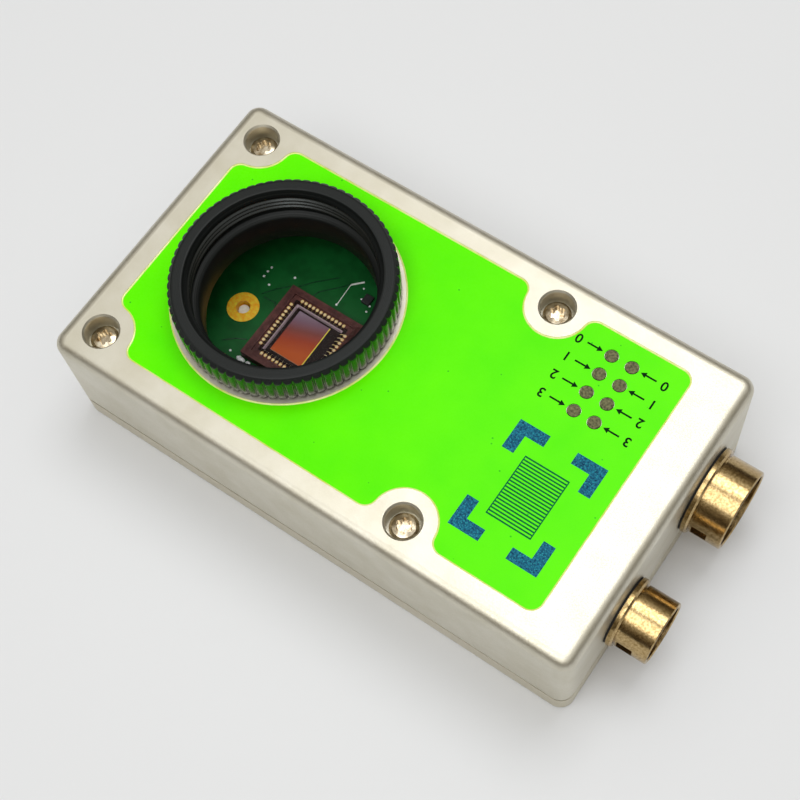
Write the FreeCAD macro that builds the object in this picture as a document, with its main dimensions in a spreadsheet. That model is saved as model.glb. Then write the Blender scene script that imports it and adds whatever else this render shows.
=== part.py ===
import FreeCAD, Part
import math
import os
import Sketcher

# Compact machine vision camera: an aluminium shell on an aluminium tray, a knurled spacer
# ring screwed into the lens hole, an image sensor on a board beneath it, and two round
# push-pull sockets on the end.
# Frame: origin at the centre of the tray's bottom face, +X towards the sockets, +Z out of
# the lens side. All sizes are in millimetres.

sizes = {
    # housing
    "housingLength": 80.0,
    "housingWidth": 45.0,
    "housingHeight": 20.0,
    "cornerRadius": 2.0,
    "topEdgeRadius": 1.6,
    "wallThickness": 2.0,
    "topThickness": 2.4,
    "floorThickness": 2.0,
    "innerCornerRadius": 1.0,
    "trayHeight": 3.7,
    "trayEdgeChamfer": 0.4,
    "shellEdgeChamfer": 0.25,
    "gasketThickness": 0.2,
    "gasketInset": 0.35,
    "gasketWidth": 1.3,
    # recess in the top face and the film in it
    "recessDepth": 0.35,
    "recessMarginRear": 4.0,
    "recessMarginFront": 7.0,
    "recessMarginSide": 3.8,
    "recessFillet": 1.8,
    "screwLandRadius": 4.3,
    "labelThickness": 0.2,
    "labelGap": 0.2,
    # cover screws
    "coverScrewInset": 5.0,
    "coverScrewFrontInset": 27.0,
    "coverBossRadius": 3.4,
    "coverScrewRadius": 1.0,
    "coverHeadRadius": 1.9,
    "coverHeadRim": 0.9,
    "coverHeadDomeHeight": 0.5,
    "coverScrewTipHeight": 1.4,
    "counterboreGap": 0.4,
    "counterboreDepth": 3.0,
    "counterboreChamfer": 0.25,
    "shankClearance": 0.15,
    "threadClearance": 0.05,
    "driveRadius": 0.84,
    "driveLobeRadius": 0.3,
    "driveDepth": 0.8,
    # lens hole and spacer ring
    "lensInset": 22.5,
    "lensBossWall": 2.3,
    "lensBossDepth": 2.6,
    "lensLandMargin": 0.5,
    "ringHeight": 4.8,
    "ringThreadRadius": 12.3,
    "ringThreadDepth": 4.4,
    "ringLead": 0.6,
    "ringFaceWidth": 1.6,
    "ringEdgeChamfer": 0.5,
    "ringLedge": 0.6,
    "noseWall": 0.92,
    "noseLength": 5.0,
    "noseChamfer": 0.3,
    "noseClearance": 0.08,
    "flutePitch": 1.27,
    "fluteDepth": 0.5,
    "fluteWidth": 1.0,
    "shimThickness": 0.2,
    "shimInset": 0.8,
    "shimClearance": 0.3,
    # image sensor
    "packageSide": 12.4,
    "sensorOffset": 0.3,
    "packageHeight": 1.5,
    "packageBase": 0.674,
    "shelfHeight": 1.3,
    "shelfLedge": 0.85,
    "dieLength": 8.2,
    "dieWidth": 8.5,
    "dieThickness": 0.6,
    "dieClearance": 0.1,
    "glassInset": 0.5,
    "glassThickness": 0.5,
    "padLength": 0.5,
    "padWidth": 0.34,
    "padThickness": 0.03,
    "padPitch": 0.65,
    # main board
    "boardHeight": 4.6,
    "boardThickness": 1.6,
    "boardGap": 0.8,
    "bossGap": 0.4,
    "platingOffset": 10.4,
    "platingRadius": 2.33,
    "platingHoleRadius": 1.03,
    "platingThickness": 0.05,
    "supportPostRadius": 2.2,
    "boardPostRadius": 2.0,
    "boardScrewInset": 4.2,
    "boardScrewNotchGap": 2.7,
    "boardScrewRadius": 1.0,
    "boardScrewHead": 1.8,
    "boardScrewHeadHeight": 1.2,
    "boardScrewDepth": 2.2,
    "boardHoleClearance": 0.1,
    # tapped holes under the tray
    "mountInsetX": 15.0,
    "mountInsetY": 7.5,
    "mountHoleRadius": 1.25,
    "mountBossRadius": 3.0,
    "mountBossGap": 0.5,
    "mountHoleRoof": 0.9,
    # chips on the board
    "processorOffset": 22.5,
    "processorSide": 14.0,
    "processorThickness": 1.2,
    "thermalPadSide": 12.0,
    "memoryOffset": 21.0,
    "memoryGap": 6.0,
    "memoryLength": 9.0,
    "memoryWidth": 8.0,
    "memoryThickness": 1.0,
    "networkChipInset": 11.2,
    "networkChipY": -9.0,
    "networkChipSide": 7.0,
    "networkChipThickness": 0.9,
    "inductorOffset": 33.5,
    "inductorSide": 5.0,
    "inductorHeight": 3.0,
    "inductorChamfer": 0.7,
    "capacitorLength": 1.6,
    "capacitorWidth": 0.8,
    "capacitorHeight": 0.8,
    "capacitorPitch": 2.4,
    "capacitorColumnGap": 1.3,
    "capacitorOffset": 8.8,
    "capacitorY": 3.6,
    # status lamps
    "lampInset": 14.5,
    "lampPitch": 3.0,
    "lampSideInset": 7.15,
    "lampRadius": 0.85,
    "lampClearance": 0.05,
    "lampLabelGap": 0.1,
    "lampHeadRadius": 1.25,
    "lampHeadHeight": 1.0,
    "ledGap": 0.2,
    "ledLength": 1.6,
    "ledWidth": 0.8,
    "ledHeight": 0.6,
    "ledBoardThickness": 1.0,
    "ledBoardMargin": 2.2,
    "ledHeaderWidth": 2.4,
    "ledHeaderLength": 7.6,
    # sockets on the end
    "socketSeamWeb": 0.6,
    "largeSocketInset": 12.4,
    "largeBarrelRadius": 5.7,
    "smallSocketInset": 13.2,
    "smallBarrelRadius": 4.4,
    "flangeLipWidth": 0.5,
    "socketThreadStep": 0.7,
    "contactMargin": 1.2,
    "contactRowGap": 1.6,
    "socketWall": 0.5,
    "socketSeatWall": 0.8,
    "socketGasket": 0.3,
    "socketGasketInset": 0.15,
    "flangeThickness": 0.8,
    "flangeChamfer": 0.25,
    "neckDepth": 0.3,
    "neckWidth": 0.3,
    "barrelLength": 4.7,
    "mouthChamfer": 0.15,
    "mouthFloor": 1.2,
    "socketHoleClearance": 0.1,
    "latchWindowWidth": 2.0,
    "latchWindowLength": 2.2,
    "latchWindowOffset": 2.0,
    "nutThickness": 1.6,
    "nutMargin": 1.2,
    "threadRunout": 0.6,
    "insertTail": 0.4,
    "contactRadius": 0.4,
    "contactBoreRadius": 0.22,
    "contactBoreDepth": 2.0,
    "contactRecess": 0.2,
    "contactTailRadius": 0.25,
    "contactTailOut": 0.2,
    "socketBoardGap": 0.4,
    "socketBoardThickness": 1.0,
    "socketBoardMargin": 0.6,
    "linkWidth": 3.0,
    "linkHeight": 2.8,
}

doc = FreeCAD.newDocument("VisionCamera")
sheet = doc.addObject("Spreadsheet::Sheet", "Sizes")
for row, (alias, number) in enumerate(sizes.items(), start=1):
    sheet.set("A%d" % row, alias)
    sheet.set("B%d" % row, str(number))
    sheet.setAlias("B%d" % row, alias)
doc.recompute()


class Size:
    """A number of the sheet, or a sum or share of several, with the expression that gives it."""

    def __init__(self, value, text):
        self.value = value
        self.text = text

    def join(self, sign, other, value):
        return Size(value, "(%s %s %s)" % (self.text, sign, other.text))

    def __add__(self, other):
        other = sized(other)
        return self.join("+", other, self.value + other.value)

    def __sub__(self, other):
        other = sized(other)
        return self.join("-", other, self.value - other.value)

    def __mul__(self, other):
        other = sized(other)
        return self.join("*", other, self.value * other.value)

    def __truediv__(self, other):
        other = sized(other)
        return self.join("/", other, self.value / other.value)

    def __radd__(self, other):
        return sized(other) + self

    def __rsub__(self, other):
        return sized(other) - self

    def __rmul__(self, other):
        return sized(other) * self

    def __neg__(self):
        return sized(0) - self


def sized(item):
    return item if isinstance(item, Size) else Size(float(item), repr(round(item, 9)))


class Named:
    """The sheet's sizes by their aliases."""

    def __getattr__(self, alias):
        return Size(sizes[alias], "Sizes." + alias)


S = Named()
parts = []


def bind(thing, prop, size):
    thing.setExpression(prop, sized(size).text)


def place(thing, x=0, y=0, z=0):
    for axis, size in zip("xyz", (x, y, z)):
        if isinstance(size, Size):
            bind(thing, "Placement.Base." + axis, size)


def newBody(name, x=0, y=0, z=0, turned=False, group=False):
    body = doc.addObject("PartDesign::Body", name)
    body.Label = name
    if group:
        body.AllowCompound = True
    if turned:
        body.Placement.Rotation = FreeCAD.Rotation(FreeCAD.Vector(0, 1, 0), 90)
    place(body, x, y, z)
    parts.append(body)
    return body


def newSketch(body, plane="XY_Plane", height=0):
    sketch = body.newObject("Sketcher::SketchObject", body.Name + "Sketch")
    origin = [item for item in body.Origin.OriginFeatures if item.Role == plane][0]
    sketch.AttachmentSupport = [(origin, "")]
    sketch.MapMode = "FlatFace"
    if isinstance(height, Size):
        bind(sketch, ".AttachmentOffset.Base.z", height)
    return sketch


def hold(sketch, kind, entity, corner, size):
    size = sized(size)
    count = sketch.addConstraint(
        Sketcher.Constraint(kind, -1, startPoint, entity, corner, size.value))
    bind(sketch, "Constraints[%d]" % count, size)


def polygon(sketch, corners):
    first = sketch.GeometryCount
    total = len(corners)
    spots = [FreeCAD.Vector(sized(u).value, sized(v).value, 0) for u, v in corners]
    for step in range(total):
        line = Part.LineSegment(spots[step], spots[(step + 1) % total])
        sketch.addGeometry(line, False)
    for step in range(total):
        after = first + (step + 1) % total
        sketch.addConstraint(
            Sketcher.Constraint("Coincident", first + step, endPoint, after, startPoint))
    for step, (u, v) in enumerate(corners):
        hold(sketch, "DistanceX", first + step, startPoint, u)
        hold(sketch, "DistanceY", first + step, startPoint, v)


def rectangle(sketch, u0, u1, v0, v1):
    polygon(sketch, [(u0, v0), (u1, v0), (u1, v1), (u0, v1)])


def circle(sketch, u, v, radius):
    centre = FreeCAD.Vector(sized(u).value, sized(v).value, 0)
    entity = sketch.addGeometry(
        Part.Circle(centre, FreeCAD.Vector(0, 0, 1), radius.value), False)
    hold(sketch, "DistanceX", entity, centrePoint, u)
    hold(sketch, "DistanceY", entity, centrePoint, v)
    count = sketch.addConstraint(Sketcher.Constraint("Radius", entity, radius.value))
    bind(sketch, "Constraints[%d]" % count, radius)


def settle(body, feature, grows):
    before = body.Shape.Volume if body.Tip and not body.Shape.isNull() else 0.0
    body.Tip = feature
    doc.recompute()
    change = feature.Shape.Volume - before
    if change == 0 or (change > 0) != grows:
        raise ValueError("%s does not change %s as meant" % (feature.Name, body.Label))
    return feature


def pad(body, sketch, length, down=False):
    feature = doc.addObject("PartDesign::Pad", body.Name + "Pad")
    before = body.Tip
    body.addObject(feature)
    feature.Profile = sketch
    feature.Reversed = down
    bind(feature, "Length", length)
    body.Tip = before
    return settle(body, feature, True)


def pocket(body, sketch, length=None, up=False):
    feature = doc.addObject("PartDesign::Pocket", body.Name + "Pocket")
    before = body.Tip
    body.addObject(feature)
    feature.Profile = sketch
    feature.Reversed = up
    if length is None:
        feature.Type = "ThroughAll"
    else:
        bind(feature, "Length", length)
    body.Tip = before
    return settle(body, feature, False)


def revolve(body, corners):
    sketch = newSketch(body, "XZ_Plane")
    polygon(sketch, corners)
    feature = doc.addObject("PartDesign::Revolution", body.Name + "Revolution")
    body.addObject(feature)
    feature.Profile = sketch
    feature.ReferenceAxis = (sketch, ["V_Axis"])
    feature.Angle = 360
    return settle(body, feature, True)


def edges(body, test):
    shape = body.Tip.Shape
    return ["Edge%d" % count for count, edge in enumerate(shape.Edges, start=1) if test(edge)]


def soften(body, kind, chosen, prop, size):
    feature = doc.addObject("PartDesign::" + kind, body.Name + kind)
    base = body.Tip
    body.addObject(feature)
    feature.Base = (base, chosen)
    bind(feature, prop, size)
    body.Tip = feature
    doc.recompute()
    return feature


def fillet(body, chosen, radius):
    return soften(body, "Fillet", chosen, "Radius", radius)


def chamfer(body, chosen, size):
    return soften(body, "Chamfer", chosen, "Size", size)


def upright(edge):
    low, high = edge.Vertexes[0].Point, edge.Vertexes[-1].Point
    flat = math.hypot(high.x - low.x, high.y - low.y)
    return isinstance(edge.Curve, Part.Line) and flat < tiny


def level(edge, height):
    box = edge.BoundBox
    return abs(box.ZMin - height.value) < tiny and abs(box.ZMax - height.value) < tiny


def box(name, x, y, z, dx, dy, dz, keep=True):
    solid = doc.addObject("Part::Box", name)
    solid.Label = name
    bind(solid, "Length", dx)
    bind(solid, "Width", dy)
    bind(solid, "Height", dz)
    place(solid, sized(x), sized(y), sized(z))
    if keep:
        parts.append(solid)
    return solid


def boxGroup(name, boxes):
    group = doc.addObject("Part::Compound", name)
    group.Label = name
    group.Links = [box(name + "Piece", *limits, keep=False) for limits in boxes]
    parts.append(group)


tiny = 0.001
# a sketch's own numbers for the points of an edge
startPoint, endPoint, centrePoint = range(1, 4)
halfLength = S.housingLength / 2
halfWidth = S.housingWidth / 2
innerLength = halfLength - S.wallThickness
innerWidth = halfWidth - S.wallThickness
seam = S.trayHeight + S.gasketThickness
ceiling = S.housingHeight - S.topThickness
recessFloor = S.housingHeight - S.recessDepth
labelTop = recessFloor + S.labelThickness
lensX = S.lensInset - halfLength
sensorX = lensX + S.sensorOffset

ringBoreRadius = S.ringThreadRadius - S.ringLedge
ringFaceInnerRadius = S.ringThreadRadius + S.ringLead
ringRadius = ringFaceInnerRadius + S.ringFaceWidth + S.ringEdgeChamfer
noseRadius = ringBoreRadius + S.noseWall
lensHoleRadius = noseRadius + S.noseClearance
lensLandRadius = ringRadius + S.lensLandMargin

coverScrewRear = S.coverScrewInset - halfLength
coverScrewFront = halfLength - S.coverScrewFrontInset
coverScrewY = halfWidth - S.coverScrewInset
coverScrews = []
for coverX in (coverScrewRear, coverScrewFront):
    coverScrews += [(coverX, coverScrewY), (coverX, -coverScrewY)]
screwSeat = S.housingHeight - S.counterboreDepth
counterboreRadius = S.coverHeadRadius + S.counterboreGap

# A socket's own axis starts at the housing's end face, with lengths positive outwards.
largeThreadRadius = S.largeBarrelRadius - S.socketThreadStep
smallThreadRadius = S.smallBarrelRadius - S.socketThreadStep
socketHeight = seam + S.socketSeamWeb + largeThreadRadius
largeSocketY = halfWidth - S.largeSocketInset
smallSocketY = S.smallSocketInset - halfWidth
socketFace = S.socketGasket + S.flangeThickness
socketMouth = socketFace + S.barrelLength
socketRear = S.wallThickness + S.nutThickness + S.threadRunout
insertRear = socketRear + S.insertTail
socketBoardFront = halfLength - insertRear - S.socketBoardGap
socketBoardRear = socketBoardFront - S.socketBoardThickness

# The ring's face stands 17.526 over the sensor's die, the flange distance of a C-mount.
ringFoot = S.housingHeight + S.shimThickness
ringTop = ringFoot + S.ringHeight
boardTop = S.boardHeight + S.boardThickness
platingX = lensX - S.platingOffset
boardRear = S.boardGap - innerLength
boardFront = socketBoardRear - S.boardGap
boardSide = innerWidth - S.boardGap
bossKeepOut = S.coverBossRadius + S.bossGap
boardNotch = coverScrewY - bossKeepOut
boardScrewY = boardNotch - S.boardScrewNotchGap
boardScrews = []
for boardX in (boardRear + S.boardScrewInset, boardFront - S.boardScrewInset):
    boardScrews += [(boardX, boardScrewY), (boardX, -boardScrewY)]
mountX = halfLength - S.mountInsetX
mountY = halfWidth - S.mountInsetY
mountHoles = [(mountX, mountY), (mountX, -mountY), (-mountX, mountY), (-mountX, -mountY)]
mountBossTop = S.boardHeight - S.mountBossGap

lamps = []
for rowStep in range(4):
    for columnStep in range(2):
        lamps.append((halfLength - S.lampInset - columnStep * S.lampPitch,
                      halfWidth - S.lampSideInset - rowStep * S.lampPitch))
lampBottom = ceiling - S.lampHeadHeight
ledTop = lampBottom - S.ledGap
ledBoardTop = ledTop - S.ledHeight
ledBoardBottom = ledBoardTop - S.ledBoardThickness


def makeTray():
    body = newBody("base_plate")
    outline = newSketch(body)
    rectangle(outline, -halfLength, halfLength, -halfWidth, halfWidth)
    pad(body, outline, S.trayHeight)
    fillet(body, edges(body, upright), S.cornerRadius)
    chamfer(body, edges(body, lambda edge: level(edge, sized(0))), S.trayEdgeChamfer)
    hollow = newSketch(body, height=S.trayHeight)
    rectangle(hollow, -innerLength, innerLength, -innerWidth, innerWidth)
    pocket(body, hollow, S.trayHeight - S.floorThickness)
    inside = innerLength.value + tiny
    corners = edges(body, lambda edge: upright(edge) and abs(edge.CenterOfMass.x) < inside
                    and edge.BoundBox.ZMin > tiny + S.trayEdgeChamfer.value)
    fillet(body, corners, S.innerCornerRadius)
    bosses = newSketch(body, height=S.floorThickness)
    for x, y in coverScrews:
        circle(bosses, x, y, S.coverBossRadius)
    pad(body, bosses, S.trayHeight - S.floorThickness)
    posts = newSketch(body, height=S.floorThickness)
    for x, y in boardScrews:
        circle(posts, x, y, S.boardPostRadius)
    circle(posts, platingX, 0, S.supportPostRadius)
    pad(body, posts, S.boardHeight - S.floorThickness)
    tapped = newSketch(body, height=S.floorThickness)
    for x, y in mountHoles:
        circle(tapped, x, y, S.mountBossRadius)
    pad(body, tapped, mountBossTop - S.floorThickness)
    threads = newSketch(body, height=S.trayHeight)
    for x, y in coverScrews:
        circle(threads, x, y, S.coverScrewRadius + S.threadClearance)
    pocket(body, threads, S.trayHeight - S.coverScrewTipHeight / 2)
    screwHoles = newSketch(body, height=S.boardHeight)
    for x, y in boardScrews:
        circle(screwHoles, x, y, S.boardScrewRadius + S.threadClearance)
    pocket(body, screwHoles, S.boardScrewDepth)
    mounts = newSketch(body)
    for x, y in mountHoles:
        circle(mounts, x, y, S.mountHoleRadius)
    pocket(body, mounts, mountBossTop - S.mountHoleRoof, up=True)


def makeShell():
    body = newBody("housing_shell")
    outline = newSketch(body, height=seam)
    rectangle(outline, -halfLength, halfLength, -halfWidth, halfWidth)
    pad(body, outline, S.housingHeight - seam)
    fillet(body, edges(body, upright), S.cornerRadius)
    chamfer(body, edges(body, lambda edge: level(edge, seam)), S.shellEdgeChamfer)
    hollow = newSketch(body, height=seam)
    rectangle(hollow, -innerLength, innerLength, -innerWidth, innerWidth)
    pocket(body, hollow, ceiling - seam, up=True)
    bosses = newSketch(body, height=seam)
    for x, y in coverScrews:
        circle(bosses, x, y, S.coverBossRadius)
    pad(body, bosses, ceiling - seam)
    lensBoss = newSketch(body, height=ceiling)
    circle(lensBoss, lensX, 0, lensHoleRadius + S.lensBossWall)
    pad(body, lensBoss, S.lensBossDepth, down=True)

    recess = newSketch(body, height=S.housingHeight)
    rear, front, side = recessLimits(sized(0))
    rectangle(recess, rear, front, -side, side)
    pocket(body, recess, S.recessDepth)
    lands = newSketch(body, height=recessFloor)
    for x, y in coverScrews:
        circle(lands, x, y, S.screwLandRadius)
    pad(body, lands, S.recessDepth)
    lowest = recessFloor.value - tiny
    fillet(body, edges(body, lambda edge: upright(edge) and edge.BoundBox.ZMin > lowest),
           S.recessFillet)
    corner = halfWidth.value - S.cornerRadius.value
    fillet(body, edges(body, lambda edge: level(edge, S.housingHeight)
                       and (abs(edge.CenterOfMass.y) > corner
                            or abs(edge.CenterOfMass.x) > halfLength.value - tiny)),
           S.topEdgeRadius)
    lensLand = newSketch(body, height=recessFloor)
    circle(lensLand, lensX, 0, lensLandRadius)
    pad(body, lensLand, S.recessDepth)

    lensHole = newSketch(body, height=S.housingHeight)
    circle(lensHole, lensX, 0, lensHoleRadius)
    pocket(body, lensHole)
    screwHoles = newSketch(body, height=S.housingHeight)
    for x, y in coverScrews:
        circle(screwHoles, x, y, S.coverScrewRadius + S.shankClearance)
    pocket(body, screwHoles)
    counterbores = newSketch(body, height=S.housingHeight)
    for x, y in coverScrews:
        circle(counterbores, x, y, counterboreRadius)
    pocket(body, counterbores, S.counterboreDepth)
    rims = edges(body, lambda edge: isinstance(edge.Curve, Part.Circle)
                 and level(edge, S.housingHeight)
                 and abs(edge.Curve.Radius - counterboreRadius.value) < tiny)
    chamfer(body, rims, S.counterboreChamfer)
    lampHoles = newSketch(body, height=S.housingHeight)
    for x, y in lamps:
        circle(lampHoles, x, y, S.lampRadius + S.lampClearance)
    pocket(body, lampHoles)
    sockets = newSketch(body, "YZ_Plane", halfLength)
    circle(sockets, largeSocketY, socketHeight, largeThreadRadius + S.socketHoleClearance)
    circle(sockets, smallSocketY, socketHeight, smallThreadRadius + S.socketHoleClearance)
    pocket(body, sockets, S.wallThickness * 1.5)


def recessLimits(gap):
    rear = S.recessMarginRear - halfLength + gap
    front = halfLength - S.recessMarginFront - gap
    side = halfWidth - S.recessMarginSide - gap
    return rear, front, side


def makeLabel():
    body = newBody("face_label")
    outline = newSketch(body, height=recessFloor)
    rear, front, side = recessLimits(S.labelGap)
    rectangle(outline, rear, front, -side, side)
    pad(body, outline, S.labelThickness)
    notches = newSketch(body, height=labelTop)
    for x, y in coverScrews:
        circle(notches, x, y, S.screwLandRadius + S.labelGap)
    pocket(body, notches)
    fillet(body, edges(body, upright), S.recessFillet - S.labelGap)
    holes = newSketch(body, height=labelTop)
    circle(holes, lensX, 0, lensLandRadius + S.labelGap)
    for x, y in lamps:
        circle(holes, x, y, S.lampRadius + S.lampLabelGap)
    pocket(body, holes)


def makeSeamGasket():
    body = newBody("seam_gasket")
    outline = newSketch(body, height=S.trayHeight)
    inset = S.gasketInset
    rectangle(outline, inset - halfLength, halfLength - inset,
              inset - halfWidth, halfWidth - inset)
    pad(body, outline, S.gasketThickness)
    fillet(body, edges(body, upright), S.cornerRadius - inset)
    inset = S.gasketInset + S.gasketWidth
    window = newSketch(body, height=seam)
    rectangle(window, inset - halfLength, halfLength - inset,
              inset - halfWidth, halfWidth - inset)
    pocket(body, window)


def makeRing():
    body = newBody("mount_ring", lensX, 0, 0)
    noseBottom = ringFoot - S.noseLength
    edge = S.ringEdgeChamfer
    revolve(body, [
        (ringBoreRadius, noseBottom),
        (noseRadius - S.noseChamfer, noseBottom),
        (noseRadius, noseBottom + S.noseChamfer),
        (noseRadius, ringFoot),
        (ringRadius - edge, ringFoot),
        (ringRadius, ringFoot + edge),
        (ringRadius, ringTop - edge),
        (ringRadius - edge, ringTop),
        (ringFaceInnerRadius, ringTop),
        (S.ringThreadRadius, ringTop - S.ringLead),
        (S.ringThreadRadius, ringTop - S.ringThreadDepth),
        (ringBoreRadius, ringTop - S.ringThreadDepth)])
    flute = newSketch(body, height=ringTop)
    outer = ringRadius + S.fluteDepth
    polygon(flute, [
        (ringRadius - S.fluteDepth, 0), (outer, -S.fluteWidth), (outer, S.fluteWidth)])
    cut = pocket(body, flute, ringTop - ringFoot)
    knurl = doc.addObject("PartDesign::PolarPattern", "ringKnurl")
    body.addObject(knurl)
    knurl.Originals = [cut]
    axis = [item for item in body.Origin.OriginFeatures if item.Role == "Z_Axis"][0]
    knurl.Axis = (axis, [""])
    knurl.Angle = 360
    knurl.setExpression("Occurrences", "round(2 * pi * %s / %s)"
                        % (ringRadius.text, S.flutePitch.text))
    settle(body, knurl, False)


def makeShim():
    body = newBody("focus_shim", lensX, 0, 0)
    inner = noseRadius + S.shimClearance
    outer = ringRadius - S.shimInset
    revolve(body, [
        (inner, S.housingHeight), (outer, S.housingHeight), (outer, ringFoot), (inner, ringFoot)])


def makeCoverScrews():
    for count, (x, y) in enumerate(coverScrews, start=1):
        body = newBody("cover_screw_%d" % count, x, y, 0)
        rim = screwSeat + S.coverHeadRim
        top = rim + S.coverHeadDomeHeight
        revolve(body, [
            (0, S.coverScrewTipHeight), (S.coverScrewRadius, S.coverScrewTipHeight),
            (S.coverScrewRadius, screwSeat), (S.coverHeadRadius, screwSeat),
            (S.coverHeadRadius, rim), (S.coverHeadRadius * 0.8, rim + S.coverHeadDomeHeight * 0.62),
            (S.coverHeadRadius * 0.45, top), (0, top)])
        makeDrive(body, top)


def makeDrive(body, top):
    centre = newSketch(body, height=top)
    circle(centre, 0, 0, S.driveRadius)
    pocket(body, centre, S.driveDepth)
    lobe = newSketch(body, height=top)
    circle(lobe, S.driveRadius, 0, S.driveLobeRadius)
    cut = pocket(body, lobe, S.driveDepth)
    lobes = doc.addObject("PartDesign::PolarPattern", body.Name + "Lobes")
    body.addObject(lobes)
    lobes.Originals = [cut]
    axis = [item for item in body.Origin.OriginFeatures if item.Role == "Z_Axis"][0]
    lobes.Axis = (axis, [""])
    lobes.Angle = 360
    lobes.Occurrences = 6
    settle(body, lobes, False)


def makeMainBoard():
    body = newBody("main_board")
    outline = newSketch(body, height=S.boardHeight)
    notch, side = boardNotch, boardSide
    rearNotch = coverScrewRear + bossKeepOut
    left = coverScrewFront - bossKeepOut
    right = coverScrewFront + bossKeepOut
    polygon(outline, [
        (rearNotch, -side), (left, -side), (left, -notch), (right, -notch), (right, -side),
        (boardFront, -side), (boardFront, side),
        (right, side), (right, notch), (left, notch), (left, side), (rearNotch, side),
        (rearNotch, notch), (boardRear, notch), (boardRear, -notch), (rearNotch, -notch)])
    pad(body, outline, S.boardThickness)
    holes = newSketch(body, height=boardTop)
    for x, y in boardScrews:
        circle(holes, x, y, S.boardScrewRadius + S.boardHoleClearance)
    circle(holes, platingX, 0, S.platingHoleRadius + S.platingThickness)
    pocket(body, holes)


def makeHolePlating():
    body = newBody("hole_plating", platingX, 0, 0)
    plated = S.platingHoleRadius + S.platingThickness
    revolve(body, [
        (S.platingHoleRadius, S.boardHeight), (plated, S.boardHeight), (plated, boardTop),
        (S.platingRadius, boardTop), (S.platingRadius, boardTop + S.platingThickness),
        (S.platingHoleRadius, boardTop + S.platingThickness)])


def makeBoardScrews():
    for count, (x, y) in enumerate(boardScrews, start=1):
        body = newBody("board_screw_%d" % count, x, y, 0)
        tip = S.boardHeight - S.boardScrewDepth * 0.9
        rim = boardTop + S.boardScrewHeadHeight * 0.6
        top = boardTop + S.boardScrewHeadHeight
        revolve(body, [
            (0, tip), (S.boardScrewRadius, tip), (S.boardScrewRadius, boardTop),
            (S.boardScrewHead, boardTop), (S.boardScrewHead, rim),
            (S.boardScrewHead * 0.6, top), (0, top)])


def makeSensor():
    body = newBody("sensor_package", sensorX, 0, 0)
    half = S.packageSide / 2
    outline = newSketch(body, height=boardTop)
    rectangle(outline, -half, half, -half, half)
    pad(body, outline, S.packageHeight)
    wellX = S.dieLength / 2 + S.dieClearance
    wellY = S.dieWidth / 2 + S.dieClearance
    shelfX = wellX + S.shelfLedge
    shelfY = wellY + S.shelfLedge
    shelf = newSketch(body, height=boardTop + S.packageHeight)
    rectangle(shelf, -shelfX, shelfX, -shelfY, shelfY)
    pocket(body, shelf, S.packageHeight - S.shelfHeight)
    well = newSketch(body, height=boardTop + S.shelfHeight)
    rectangle(well, -wellX, wellX, -wellY, wellY)
    pocket(body, well, S.shelfHeight - S.packageBase)

    box("sensor_die", sensorX - S.dieLength / 2, -S.dieWidth / 2, boardTop + S.packageBase,
        S.dieLength, S.dieWidth, S.dieThickness)
    glass = half - S.glassInset
    box("sensor_glass", sensorX - glass, -glass,
        boardTop + S.packageHeight, glass * 2, glass * 2, S.glassThickness)

    padZ = boardTop + S.shelfHeight
    rowX = (wellX + shelfX) / 2
    rowY = (wellY + shelfY) / 2
    padCount = 12
    boxes = []
    for step in range(padCount):
        along = (step - (padCount - 1) / 2) * S.padPitch
        for side in (-1, 1):
            boxes.append((sensorX + along - S.padWidth / 2, side * rowY - S.padLength / 2, padZ,
                          S.padWidth, S.padLength, S.padThickness))
            boxes.append((sensorX + side * rowX - S.padLength / 2, along - S.padWidth / 2, padZ,
                          S.padLength, S.padWidth, S.padThickness))
    boxGroup("bond_pads", boxes)


def makeChips():
    processorX = lensX + S.processorOffset
    half = S.processorSide / 2
    chipBottom = S.boardHeight - S.processorThickness
    box("processor", processorX - half, -half, chipBottom,
        S.processorSide, S.processorSide, S.processorThickness)
    half = S.thermalPadSide / 2
    box("thermal_pad", processorX - half, -half, S.floorThickness,
        S.thermalPadSide, S.thermalPadSide, chipBottom - S.floorThickness)
    memoryX = lensX + S.memoryOffset - S.memoryLength / 2
    for count, y in enumerate((S.memoryGap / 2, -S.memoryGap / 2 - S.memoryWidth), start=1):
        box("memory_chip_%d" % count, memoryX, y, boardTop,
            S.memoryLength, S.memoryWidth, S.memoryThickness)
    half = S.networkChipSide / 2
    box("network_chip", boardFront - S.networkChipInset - half, S.networkChipY - half, boardTop,
        S.networkChipSide, S.networkChipSide, S.networkChipThickness)
    inductor = newBody("power_inductor", lensX + S.inductorOffset, 0, 0)
    half = S.inductorSide / 2
    outline = newSketch(inductor, height=boardTop)
    rectangle(outline, -half, half, -half, half)
    pad(inductor, outline, S.inductorHeight)
    chamfer(inductor, edges(inductor, upright), S.inductorChamfer)
    boxes = []
    for columnStep in range(2):
        for rowStep in range(4):
            column = columnStep * (S.capacitorWidth + S.capacitorColumnGap)
            boxes.append((lensX + S.capacitorOffset + column,
                          S.capacitorY + rowStep * S.capacitorPitch, boardTop,
                          S.capacitorWidth, S.capacitorLength, S.capacitorHeight))
    boxGroup("capacitors", boxes)


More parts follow.
